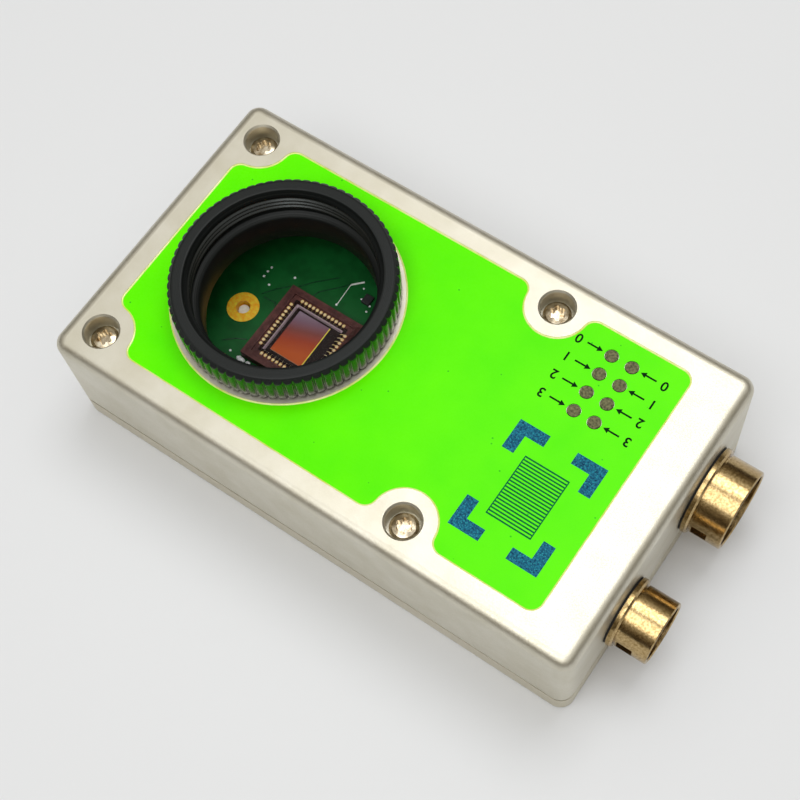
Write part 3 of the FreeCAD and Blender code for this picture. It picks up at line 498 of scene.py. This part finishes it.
def ringProfile(r, foot, top, bottom):
    # radius, height and kind of surface, once round the ring's section
    edge, wear = r["outerRadius"] - r["edgeChamfer"], r["edgeBreak"]
    noseTop = foot - r["noseGroove"]
    profile = [(r["boreRadius"], bottom + 0.1, "bore"), (r["boreRadius"] + 0.1, bottom, "plain"),
               (r["noseRoot"] - 0.1, bottom, "plain"), (r["noseRoot"], bottom + 0.1, "plain")]
    steps = round((noseTop - bottom - 0.3) / r["threadStep"])
    for i in range(steps + 1):
        height = bottom + 0.2 + (noseTop - bottom - 0.3) * i / steps
        profile.append((r["noseRoot"], height, "outside"))
    profile += [(r["noseRoot"], noseTop + 0.05, "plain"), (r["noseRoot"], foot, "plain"),
                (edge - 0.4, foot, "plain"),
                (r["outerRadius"] - r["footChamfer"], foot, "knurl")]
    for i in range(r["heightSteps"]):
        rise = (top - foot - r["edgeChamfer"]) * i / r["heightSteps"]
        height = foot + r["footChamfer"] + rise
        profile.append((r["outerRadius"], height, "knurl"))
    for i in range(r["chamferSteps"] + 1):
        drop = r["edgeChamfer"] * i / r["chamferSteps"]
        profile.append((r["outerRadius"] - drop, top - r["edgeChamfer"] + drop - wear, "rim"))
    profile += [(edge - wear, top, "plain"), (edge - 0.35, top, "plain"),
                (r["faceInner"] + 0.3, top, "plain"), (r["faceInner"] + wear, top, "plain"),
                (r["faceInner"], top - wear, "plain"),
                (r["bandRadius"], top - r["bandDepth"] + 0.04, "plain"),
                (r["bandRadius"] - 0.03, top - r["bandDepth"], "plain"),
                (r["threadRoot"] - 0.08, top - r["leadDepth"], "plain"),
                (r["threadRoot"], top - r["leadDepth"] - 0.06, "inside")]
    threadTop, threadEnd = top - r["leadDepth"] - 0.1, top - r["threadDepth"]
    steps = round((threadTop - threadEnd) / r["threadStep"])
    for i in range(steps + 1):
        height = threadTop - (threadTop - threadEnd) * i / steps
        profile.append((r["threadRoot"], height, "inside"))
    ledge, boreTop = top - r["ledgeDepth"], top - r["boreDepth"]
    profile += [(r["reliefRadius"], threadEnd - 0.06, "plain"),
                (r["reliefRadius"], ledge + 0.06, "plain"),
                (r["reliefRadius"] - 0.04, ledge + 0.02, "plain"),
                (r["ledgeRadius"], ledge, "plain"),
                (r["boreRadius"] + 0.05, boreTop + 0.03, "plain"),
                (r["boreRadius"], boreTop - 0.03, "bore"),
                (r["boreRadius"], (boreTop + bottom) / 2, "bore")]
    return profile


def makeMountRing(r):
    top, bottom = ringHigh.z / mm, ringLow.z / mm
    profile = ringProfile(r, top - r["height"], top, bottom)
    segments = r["flutes"] * r["samplesPerFlute"]
    points, faces = [], []
    for i in range(segments):
        turn = i / segments
        angle = 2 * math.pi * turn
        across = abs(2 * ((turn * r["flutes"]) % 1) - 1)
        crest = r["outerRadius"] - r["fluteDepth"] * across ** r["crestShape"]
        for radius, height, kind in profile:
            if kind in ("knurl", "rim"):
                radius = min(radius, crest)
            elif kind in ("inside", "outside"):
                wave = abs(2 * ((height / r["pitch"] - turn) % 1) - 1)
                wave = min(1, max(0, wave * r["flankSlope"] - r["flankShift"]))
                if kind == "inside":
                    radius = r["threadRoot"] - (r["threadRoot"] - r["threadCrest"]) * wave
                else:
                    radius = r["noseRoot"] + (r["noseRadius"] - r["noseRoot"]) * wave
            points.append((lensX + radius * mm * math.cos(angle),
                           radius * mm * math.sin(angle), height * mm))
    count = len(profile)
    addTube(faces, segments, count)
    ring = newMesh("spacer_ring", points, faces, "blackAnodised",
                   body="lens_ring", smooth=True)
    for finish in ("Bore", "Ribs", "Thread"):
        ring.data.materials.append(materials["blackAnodised" + finish])
    surfaces = {"bore": 1, "knurl": 2, "inside": 3, "outside": 3}
    for i, face in enumerate(ring.data.polygons):
        face.material_index = surfaces.get(profile[i % count][2], 0)
    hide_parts("mount_ring")
    return ring


ring = makeMountRing(mountRing)
print("ring made:", len(ring.data.polygons), "faces")

# lacquer between the film and the walls of its recess, pale, so that it covers the gap's shade
# with a painted highlight line: how far out and how high, in mm
lacquer = {"section": ((-0.03, -0.03), (-0.03, 0.012), (0.05, 0.045), (0.14, 0.063)),
           "wallOut": 0.195, "wallDrop": 0.05, "foot": 0.12, "shortestOutline": 30.0}


def filmOutlines():
    # closed rows of points round the film's top face, longest first
    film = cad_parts["face_label"]
    corners = [film.matrix_world @ v.co for v in film.data.vertices]
    keys = [(round(c.x, 6), round(c.y, 6)) for c in corners]
    seen = {}
    for face in film.data.polygons:
        loop = list(face.vertices)
        if min(corners[v].z for v in loop) < labelTop - 0.01 * mm:
            continue
        for a, b in zip(loop, loop[1:] + loop[:1]):
            seen[(keys[a], keys[b])] = True
    after = {a: b for a, b in seen if (b, a) not in seen}
    rows = []
    while after:
        start = next(iter(after))
        row, spot = [], start
        while spot in after:
            row.append(Vector(spot))
            spot = after.pop(spot)
        rows.append(row)
    return sorted(rows, key=len, reverse=True)


def sideways(row, i):
    # unit vector out of the film at one point of its outline
    before, after = row[i] - row[i - 1], row[(i + 1) % len(row)] - row[i]
    along = before.normalized() + after.normalized()
    return Vector((along.y, -along.x)).normalized()


def makeLacquer(look):
    low = labelTop
    levels = [(across, low + lift * mm) for across, lift in look["section"]]
    levels += [(look["wallOut"], shellTop - look["wallDrop"] * mm),
               (look["wallOut"], low - look["foot"] * mm)]
    made = []
    for row in filmOutlines():
        length = sum((a - b).length for a, b in zip(row, row[1:] + row[:1]))
        if length < look["shortestOutline"] * mm:
            continue
        points, faces = [], []
        for i, spot in enumerate(row):
            out = sideways(row, i)
            for across, height in levels:
                u, v = spot + out * across * mm
                points.append((u, v, height))
        addTube(faces, len(row), len(levels))
        name = "film_highlight_bead_%d" % (len(made) + 1)
        made.append(newMesh(name, points, faces, "lacquerPaintedHighlight", smooth=True))
    return made


print("lacquer lines:", len(makeLacquer(lacquer)))

# edge of the cord in the seam: it swells outward when the shell is screwed down, in mm
gasketEdge = {"cornerRadius": 2.0, "inset": 0.1, "width": 0.3, "seat": 0.02,
              "cornerPoints": 10}


def roundedOutline(low, high, radius, count):
    outline = []
    for x, y, start in ((high.x, high.y, 0), (low.x, high.y, 1), (low.x, low.y, 2),
                        (high.x, low.y, 3)):
        x += radius if x == low.x else -radius
        y += radius if y == low.y else -radius
        for i in range(count + 1):
            turn = math.pi / 2 * (start + i / count)
            outline.append((x + radius * math.cos(turn), y + radius * math.sin(turn)))
    return outline


def makeGasketEdge(g):
    low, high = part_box("housing_shell")
    seamLow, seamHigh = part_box("seam_gasket")
    points, rows = [], []
    heights = (seamLow.z - g["seat"] * mm, seamHigh.z + g["seat"] * mm)
    for inset, height in ((g["inset"], heights[0]), (g["inset"], heights[1]),
                          (g["inset"] + g["width"], heights[1]),
                          (g["inset"] + g["width"], heights[0])):
        off = Vector((inset, inset, 0)) * mm
        rows.append(roundedOutline(low + off, high - off, (g["cornerRadius"] - inset) * mm,
                                   g["cornerPoints"]))
        points += [(u, v, height) for u, v in rows[-1]]
    count, faces = len(rows[0]), []
    for k in range(len(rows)):
        for i in range(count):
            j = (i + 1) % count
            here, there = k * count, (k + 1) % len(rows) * count
            faces.append([here + i, here + j, there + j, there + i])
    newMesh("gasket_edge", points, faces, "blackRubber")


makeGasketEdge(gasketEdge)
print("gasket edge made")

# image sensor: offsets in mm from the lens axis
sensor = {
    "arrayLow": (-2.7, -3.55), "arrayHigh": (2.45, 3.4), "arrayHeight": 0.012,
    "edgeWidth": 0.13, "stripWidth": 0.42, "stripInset": 0.16, "stripHeight": 0.008,
    "toothPitch": 0.17, "toothWidth": 0.085, "toothLength": 0.34,
    "wellShadowWidth": 0.2, "wellShadowHeight": 0.02,
    "padsPerSide": 12, "padPitch": 0.65, "padInset": 0.25,
    "ballRadius": 0.235, "ballHeight": 0.12, "wireRadius": 0.012, "wireRise": 0.05,
    "loopRadius": 0.05, "loopRise": 0.24, "dieReach": 0.2, "lineGap": 0.12, "cellInset": 0.1,
    "footWidth": 0.06, "arraySink": 0.01, "stripSink": 0.005, "cellLift": 0.006,
    "lineSink": 0.02, "diePitchShare": 0.96,
    # share of the ball's radius, share of its height
    "ballSection": ((1.0, 0.0), (0.95, 0.4), (0.75, 0.75), (0.35, 1.0)),
}


def makeDie(s):
    top = dieHigh.z
    low, high, edge = s["arrayLow"], s["arrayHigh"], s["edgeWidth"]
    x0, x1 = lensX + low[0] * mm, lensX + high[0] * mm
    y0, y1 = low[1] * mm, high[1] * mm
    fields = (("pixel_array", "microLensFilm", x0, y0, x1, y1),
              ("array_edge", "filterEdge", x1, y0, x1 + edge * mm, y1),
              ("array_foot", "tanCeramic", x0, y0 - s["footWidth"] * mm, x1, y0))
    for name, finish, *limits in fields:
        points, faces = [], []
        addBlock(points, faces, rectOutline(*limits), top - s["arraySink"] * mm,
                 top + s["arrayHeight"] * mm)
        newMesh(name, points, faces, finish)
    # metal strips on two sides of the die, with the dark comb of the bond cells on them
    wide, inset = s["stripWidth"] * mm, s["stripInset"] * mm
    u0, v1 = dieLow.x + inset, dieHigh.y - inset
    strips, stripFaces = [], []
    sunk, lift = top - s["stripSink"] * mm, top + s["stripHeight"] * mm
    cellTop = lift + s["cellLift"] * mm
    addBlock(strips, stripFaces, rectOutline(u0, v1 - wide, dieHigh.x - inset, v1),
             sunk, lift)
    addBlock(strips, stripFaces, rectOutline(u0, dieLow.y + inset, u0 + wide, v1 - wide),
             sunk, lift)
    newMesh("die_strips", strips, stripFaces, "dieMetal")
    teeth, toothFaces = [], []
    pitch, half, reach = s["toothPitch"] * mm, s["toothWidth"] * mm / 2, s["toothLength"] * mm
    rowY, rowX = v1 - wide - s["cellInset"] * mm, u0 + wide + s["cellInset"] * mm
    for i in range(int((dieHigh.x - u0 - wide - inset) / pitch)):
        u = u0 + wide + (i + 0.5) * pitch
        addBlock(teeth, toothFaces, rectOutline(u - half, rowY, u + half, rowY + reach),
                 sunk, cellTop)
    for i in range(int((v1 - wide - dieLow.y - inset) / pitch)):
        v = dieLow.y + inset + (i + 0.5) * pitch
        addBlock(teeth, toothFaces, rectOutline(rowX - reach, v - half, rowX, v + half),
                 sunk, cellTop)
    newMesh("die_cells", teeth, toothFaces, "blackEpoxy")


def makeBondLine(s):
    # painted shadow: a black strip on the shelf round the die's well, where the well's shade
    # falls
    points, faces = [], []
    gap, wide = s["lineGap"] * mm, s["wellShadowWidth"] * mm
    x0, x1, y0, y1 = dieLow.x - gap, dieHigh.x + gap, dieLow.y - gap, dieHigh.y + gap
    for limits in ((x0 - wide, y0 - wide, x1 + wide, y0), (x0 - wide, y1, x1 + wide, y1 + wide),
                   (x0 - wide, y0, x0, y1), (x1, y0, x1 + wide, y1)):
        addBlock(points, faces, rectOutline(*limits), padLow.z - s["lineSink"] * mm,
                 padLow.z + s["wellShadowHeight"] * mm)
    newMesh("die_well_shadow", points, faces, "blackEpoxy")


def makeWires(name, tracks, radius):
    curve = bpy.data.curves.new(name, "CURVE")
    curve.dimensions = "3D"
    curve.bevel_depth = radius * mm
    curve.bevel_resolution = 1
    curve.resolution_u = 5
    curve.materials.append(materials["bondGoldPaintedGlint"])
    for track in tracks:
        spline = curve.splines.new("NURBS")
        spline.points.add(len(track) - 1)
        for point, spot in zip(spline.points, track):
            point.co = (*spot, 1)
        spline.use_endpoint_u = True
        spline.order_u = 4
    wires = newObject(name, curve)
    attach(wires, "housing")


def makeBondWires(s):
    # low fine wires from the pads to the die, and higher loops on its +X side
    middle, top = (padLow + padHigh) / 2, dieHigh.z
    reachX, dieX = padHigh.x - middle.x, dieHigh.x - middle.x
    reachY, dieY = padHigh.y - middle.y, dieHigh.y - middle.y
    fine, loops = [], []
    balls, ballFaces = [], []
    for out, padReach, dieReach, tracks, rise in (
            (Vector((0, 1)), reachY, dieY, fine, s["wireRise"]),
            (Vector((0, -1)), reachY, dieY, fine, s["wireRise"]),
            (Vector((-1, 0)), reachX, dieX, fine, s["wireRise"]),
            (Vector((1, 0)), reachX, dieX, loops, s["loopRise"])):
        across = Vector((-out.y, out.x))
        padAt, dieAt = padReach - s["padInset"] * mm, dieReach - s["dieReach"] * mm
        pinch = s["diePitchShare"]
        for i in range(s["padsPerSide"]):
            step = (i - (s["padsPerSide"] - 1) / 2) * s["padPitch"] * mm
            track = []
            for reach, drift, height in (
                    (padAt, 1.0, padHigh.z), (padAt - 0.05 * mm, 1.0, padHigh.z + rise * mm),
                    ((padAt + dieAt) / 2, (1 + pinch) / 2, padHigh.z + rise * 1.2 * mm),
                    (dieAt + 0.08 * mm, pinch, top + rise * 0.6 * mm), (dieAt, pinch, top)):
                spot = out * reach + across * step * drift
                track.append((middle.x + spot.x, middle.y + spot.y, height))
            tracks.append(track)
            rows = []
            for share, lift in s["ballSection"]:
                radius = s["ballRadius"] * share * mm
                height = padHigh.z + (lift * s["ballHeight"] - 0.01) * mm
                rows.append(ovalRow(track[0][0], track[0][1], height, radius, radius, 12))
            addDome(balls, ballFaces, rows)
    newMesh("bond_balls", balls, ballFaces, "bondGoldPaintedGlint", smooth=True)
    makeWires("bond_wires", fine, s["wireRadius"])
    makeWires("bond_loops", loops, s["loopRadius"])


makeDie(sensor)
makeBondLine(sensor)
makeBondWires(sensor)
print("sensor made")

# main board as seen through the lens hole: centre lines and centres in mm
board = {
    "tracks": (((-23.1, 7.0), (-21.7, 8.7), (-19.2, 11.1)),
               ((-20.6, 6.6), (-20.3, 7.7), (-17.75, 10.4), (-17.2, 11.2)),
               ((-26.9, 3.2), (-25.6, 4.9), (-24.2, 6.3)),
               ((-26.3, 2.9), (-24.4, 3.0), (-24.2, 2.5)),
               ((-27.2, -5.7), (-25.8, -4.5), (-24.4, -3.8)),
               ((-12.0, 8.8), (-9.6, 8.6), (-7.8, 7.0)),
               ((-10.4, -1.0), (-8.4, 0.6), (-6.6, 0.7)),
               ((-10.6, -5.6), (-9.4, -7.0), (-9.4, -9.0)),
               ((-19.5, -7.2), (-18.4, -8.6), (-15.2, -8.8))),
    "trackWidth": 0.18, "trackHeight": 0.035,
    "vias": ((-26.95, 4.85), (-28.4, 5.6), (-24.5, 7.75), (-28.4, 6.5), (-28.3, 7.3),
             (-17.0, 7.45), (-25.3, -6.4), (-9.2, -3.4), (-8.6, 4.9), (-13.4, -8.2),
             (-20.6, -9.6)),
    "viaRadius": 0.2, "viaHeight": 0.08,
    # share of the via's height, share of its radius
    "viaSection": ((-0.3, 1.0), (0.4, 0.9), (0.9, 0.6), (1.0, 0.25)),
    "print": (((-17.1, 11.1), (-15.7, 12.5)), ((-24.6, -8.6), (-22.4, -8.6))),
    "printWidth": 0.26, "wireLine": ((-16.95, 7.45), (-17.1, 11.1)), "wireWidth": 0.12,
    "printHeight": 0.03, "pinRadius": 0.78, "pinTop": 0.75, "pinFoot": 1.55,
    "sink": 0.02, "blobSteps": 7, "blobRise": 0.9, "pinCrown": 0.4, "chipEdge": 0.08,
    # centre, half length, half width
    "blobs": ((-23.25, -6.7, 0.75, 0.42), (-22.0, -6.65, 0.42, 0.3), (-15.2, 11.6, 0.16, 0.14),
              (-14.3, 11.0, 0.16, 0.14), (-14.5, 10.05, 0.2, 0.15), (-12.95, 9.75, 0.24, 0.18),
              (-12.8, 8.8, 0.18, 0.16), (-9.3, -6.2, 0.3, 0.2), (-9.3, -7.4, 0.3, 0.2)),
    # centre, length, width, height
    "chips": (((-22.5, -7.6), (1.9, 0.8, 0.5), "mouldedEpoxy"),
              ((-13.6, 10.3), (1.3, 1.5, 0.55), "mouldedEpoxy"),
              ((-9.3, -6.8), (0.7, 1.1, 0.5), "tanCeramic")),
}


def makeBoardDetails(b):
    foot = boardTop - b["sink"] * mm
    points, faces = [], []
    top = boardTop + b["trackHeight"] * mm
    for track in b["tracks"]:
        for start, end in zip(track, track[1:]):
            addBlock(points, faces, barOutline(start, end, b["trackWidth"]), foot, top)
        for x, y in track:
            radius = b["trackWidth"] * mm / 2
            addBlock(points, faces, ovalOutline(x * mm, y * mm, radius, radius, 12), foot, top)
    newMesh("board_tracks", points, faces, "maskedTrack")

    points, faces = [], []
    for x, y in b["vias"]:
        rows = []
        for lift, share in b["viaSection"]:
            radius = b["viaRadius"] * mm * share
            height = boardTop + lift * b["viaHeight"] * mm
            rows.append(ovalRow(x * mm, y * mm, height, radius, radius, 16))
        addDome(points, faces, rows)
    newMesh("board_vias", points, faces, "solder", smooth=True)

    points, faces = [], []
    bars = [(line, b["printWidth"]) for line in b["print"]] + [(b["wireLine"], b["wireWidth"])]
    for (start, end), width in bars:
        addBlock(points, faces, barOutline(start, end, width), foot,
                 boardTop + b["printHeight"] * mm)
    newMesh("board_print", points, faces, "whiteInk")

    points, faces = [], []
    for x, y, long, wide in b["blobs"]:
        rows = []
        for step in range(b["blobSteps"]):
            angle = math.pi / 2 * step / b["blobSteps"]
            height = foot + wide * b["blobRise"] * mm * math.sin(angle)
            share = math.cos(angle) * mm
            rows.append(ovalRow(x * mm, y * mm, height, long * share, wide * share, 16))
        addDome(points, faces, rows)
    newMesh("solder_joints", points, faces, "solder", smooth=True)

    # a white pin in the plated hole: painted light, standing in for the lit top of the post
    # below, which the lamps leave dark
    low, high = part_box("hole_plating")
    x, y = (low.x + high.x) / 2, (low.y + high.y) / 2
    rows = []
    for share, depth in ((1.0, "pinFoot"), (1.0, "pinTop"), (0.8, "pinTop")):
        radius = b["pinRadius"] * share * mm
        height = boardTop - b[depth] * mm + (1 - share) * b["pinCrown"] * mm
        rows.append(ovalRow(x, y, height, radius, radius, 32))
    points, faces = [], []
    addDome(points, faces, rows)
    newMesh("painted_light_pin", points, faces, "pinPaintedLight")

    for count, ((x, y), (long, wide, tall), finish) in enumerate(b["chips"], start=1):
        points, faces = [], []
        u, v = long / 2, wide / 2
        addBlock(points, faces, rectOutline((x - u) * mm, (y - v) * mm, (x + u) * mm,
                                            (y + v) * mm), foot, boardTop + tall * mm)
        chip = newMesh("small_part_%d" % count, points, faces, finish)
        edge = chip.modifiers.new("edge", "BEVEL")
        edge.width = b["chipEdge"] * mm
        edge.segments = 2


makeBoardDetails(board)
print("board details made")

# print on the film: plain lamp numbers, arrows to the lamps and a framing mark, in mm
labelPrint = {
    "inkHeight": 0.012, "inkSink": 0.02,
    "digitHeight": 1.35, "digitShare": 0.72, "digitStroke": 0.035,
    "leftDigit": 17.7, "leftTip": 21.2, "rightDigit": 30.3, "rightTip": 26.8,
    "arrowLength": 2.3, "headLength": 0.75, "headWidth": 0.85, "barWidth": 0.24,
    "markLow": (17.6, -14.6), "markHigh": (30.4, 1.8), "bracket": 4.4, "bracketWidth": 1.7,
    "hatchLow": (20.9, -11.0), "hatchRight": 27.1, "hatchLines": 20, "hatchPitch": 0.46,
    "hatchWidth": 0.22, "frameWidth": 0.16,
}


def makeLampNumber(p, name, digit, x, y, low, high):
    text = bpy.data.curves.new("lamp_number", "FONT")
    text.body = str(digit)
    text.size = p["digitHeight"] / p["digitShare"] * mm
    text.offset = p["digitStroke"] * mm
    text.extrude = (high - low) / 2
    text.align_x, text.align_y = "CENTER", "CENTER"
    text.materials.append(materials["darkInk"])
    number = newObject(name, text)
    number.location = (x * mm, y, (low + high) / 2)
    number.rotation_euler = (0, 0, math.pi)
    bpy.context.view_layer.update()
    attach(number, "housing")


def makeLabelPrint(p):
    low, high = labelTop - p["inkSink"] * mm, labelTop + p["inkHeight"] * mm
    boxes = [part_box(node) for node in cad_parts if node.startswith("status_window")]
    rows = sorted({round((a.y + b.y) / 2, 6) for a, b in boxes}, reverse=True)
    points, faces = [], []
    for column, side in (("left", -1), ("right", 1)):
        tip = p[column + "Tip"]
        neck, end = tip + side * p["headLength"], tip + side * p["arrowLength"]
        for digit, y in enumerate(rows):
            name = "lamp_number_%s_%d" % (column, digit)
            makeLampNumber(p, name, digit, p[column + "Digit"], y, low, high)
            head, bar = p["headWidth"] / 2 * mm, p["barWidth"] / 2 * mm
            addBlock(points, faces, [(tip * mm, y), (neck * mm, y - head), (neck * mm, y + head)],
                     low, high)
            addBlock(points, faces, rectOutline(neck * mm, y - bar, end * mm, y + bar),
                     low, high)
    newMesh("lamp_arrows", points, faces, "darkInk")

    (x0, y0), (x1, y1) = p["markLow"], p["markHigh"]
    reach, wide = p["bracket"], p["bracketWidth"]
    hook = [(0, 0), (reach, 0), (reach, wide), (wide, wide), (wide, reach), (0, reach)]
    points, faces = [], []
    for x, y, sx, sy in ((x0, y0, 1, 1), (x1, y0, -1, 1), (x1, y1, -1, -1), (x0, y1, 1, -1)):
        addBlock(points, faces, [((x + u * sx) * mm, (y + v * sy) * mm) for u, v in hook],
                 low, high)
    newMesh("framing_mark", points, faces, "blueInk")

    (x0, y0), x1 = p["hatchLow"], p["hatchRight"]
    y1 = y0 + (p["hatchLines"] - 1) * p["hatchPitch"] + p["hatchWidth"]
    points, faces, edge = [], [], p["frameWidth"]
    for i in range(p["hatchLines"]):
        y = y0 + i * p["hatchPitch"]
        addBlock(points, faces, rectOutline(x0 * mm, y * mm, x1 * mm,
                                            (y + p["hatchWidth"]) * mm), low, high)
    for left in (x0 - edge, x1):
        addBlock(points, faces, rectOutline(left * mm, y0 * mm, (left + edge) * mm, y1 * mm),
                 low, high)
    newMesh("hatched_field", points, faces, "tealInk")
    points, faces = [], []
    addBlock(points, faces, rectOutline(x0 * mm, y0 * mm, x1 * mm, y1 * mm), low,
             (low + high) / 2)
    newMesh("hatched_tint", points, faces, "tintInk")


makeLabelPrint(labelPrint)
print("label print made")

# floor, light and camera, in metres and degrees
studio = {
    "floorColour": "#E6E8EB", "floorRadius": 0.9, "floorSides": 64,
    # the sky by its height: pale wall foot, a dim warm room over it, then a pale ceiling
    "sky": ((0.0, "#E2E2E2"), (0.07, "#D8D7D4"), (0.11, "#2A2012"), (0.3, "#413423"),
            (0.55, "#8A8170"), (0.8, "#F0EFEA"), (1.0, "#F0F0F0")),
    "lights": {"softbox": {"place": (-0.01, 0.2, 0.58), "size": 0.32, "watts": 0.9},
               "front_fill": {"place": (0.02, -0.24, 0.55), "size": 0.4, "watts": 0.95}},
    "cameraPlace": (0.059928, -0.062124, 0.194004),
    "cameraTurn": (23.753, 3.008, 34.2527), "lens": 68.396, "shift": (-0.05, 0.025),
    "clip": (0.01, 20.0),
}


def makeStudio(s):
    floorFinish, _, shader = newMaterial("paleBackdrop")
    shader.inputs["Base Color"].default_value = hexColour(s["floorColour"])
    shader.inputs["Roughness"].default_value = 1.0
    shader.inputs["Specular IOR Level"].default_value = 0.0
    mesh = bpy.data.meshes.new("floor")
    rim = ovalRow(0, 0, 0, s["floorRadius"], s["floorRadius"], s["floorSides"])
    mesh.from_pydata(rim, [], [list(range(s["floorSides"]))])
    mesh.materials.append(floorFinish)
    floor = newObject("floor", mesh)

    world = bpy.data.worlds.new("softSky")
    bpy.context.scene.world = world
    world.use_nodes = True
    tree = world.node_tree
    ray = addNode(tree, "TexCoord").outputs["Generated"]
    height = addNode(tree, "SeparateXYZ", {"Vector": ray}).outputs["Z"]
    ramp = addNode(tree, "ValToRGB", {"Fac": height})
    stops = ramp.color_ramp.elements
    stops[0].color, stops[1].color = hexColour(s["sky"][0][1]), hexColour(s["sky"][-1][1])
    for height, tone in s["sky"][1:-1]:
        stops.new(height).color = hexColour(tone)
    tree.links.new(ramp.outputs["Color"], tree.nodes["Background"].inputs["Color"])

    for name, setting in s["lights"].items():
        light = bpy.data.lights.new(name, "AREA")
        light.shape = "DISK"
        light.size = setting["size"]
        light.energy = setting["watts"]
        lamp = newObject(name, light)
        lamp.location = setting["place"]
        lamp.rotation_mode = "QUATERNION"
        lamp.rotation_quaternion = (-lamp.location).to_track_quat("-Z", "Y")

    camera = newObject("camera", bpy.data.cameras.new("camera"))
    camera.data.lens = s["lens"]
    camera.data.sensor_width = 36.0
    camera.data.shift_x, camera.data.shift_y = s["shift"]
    camera.data.clip_start, camera.data.clip_end = s["clip"]
    camera.location = s["cameraPlace"]
    camera.rotation_euler = [math.radians(a) for a in s["cameraTurn"]]
    bpy.context.scene.camera = camera


makeStudio(studio)
bpy.context.scene.view_settings.view_transform = "Standard"
print("studio made")
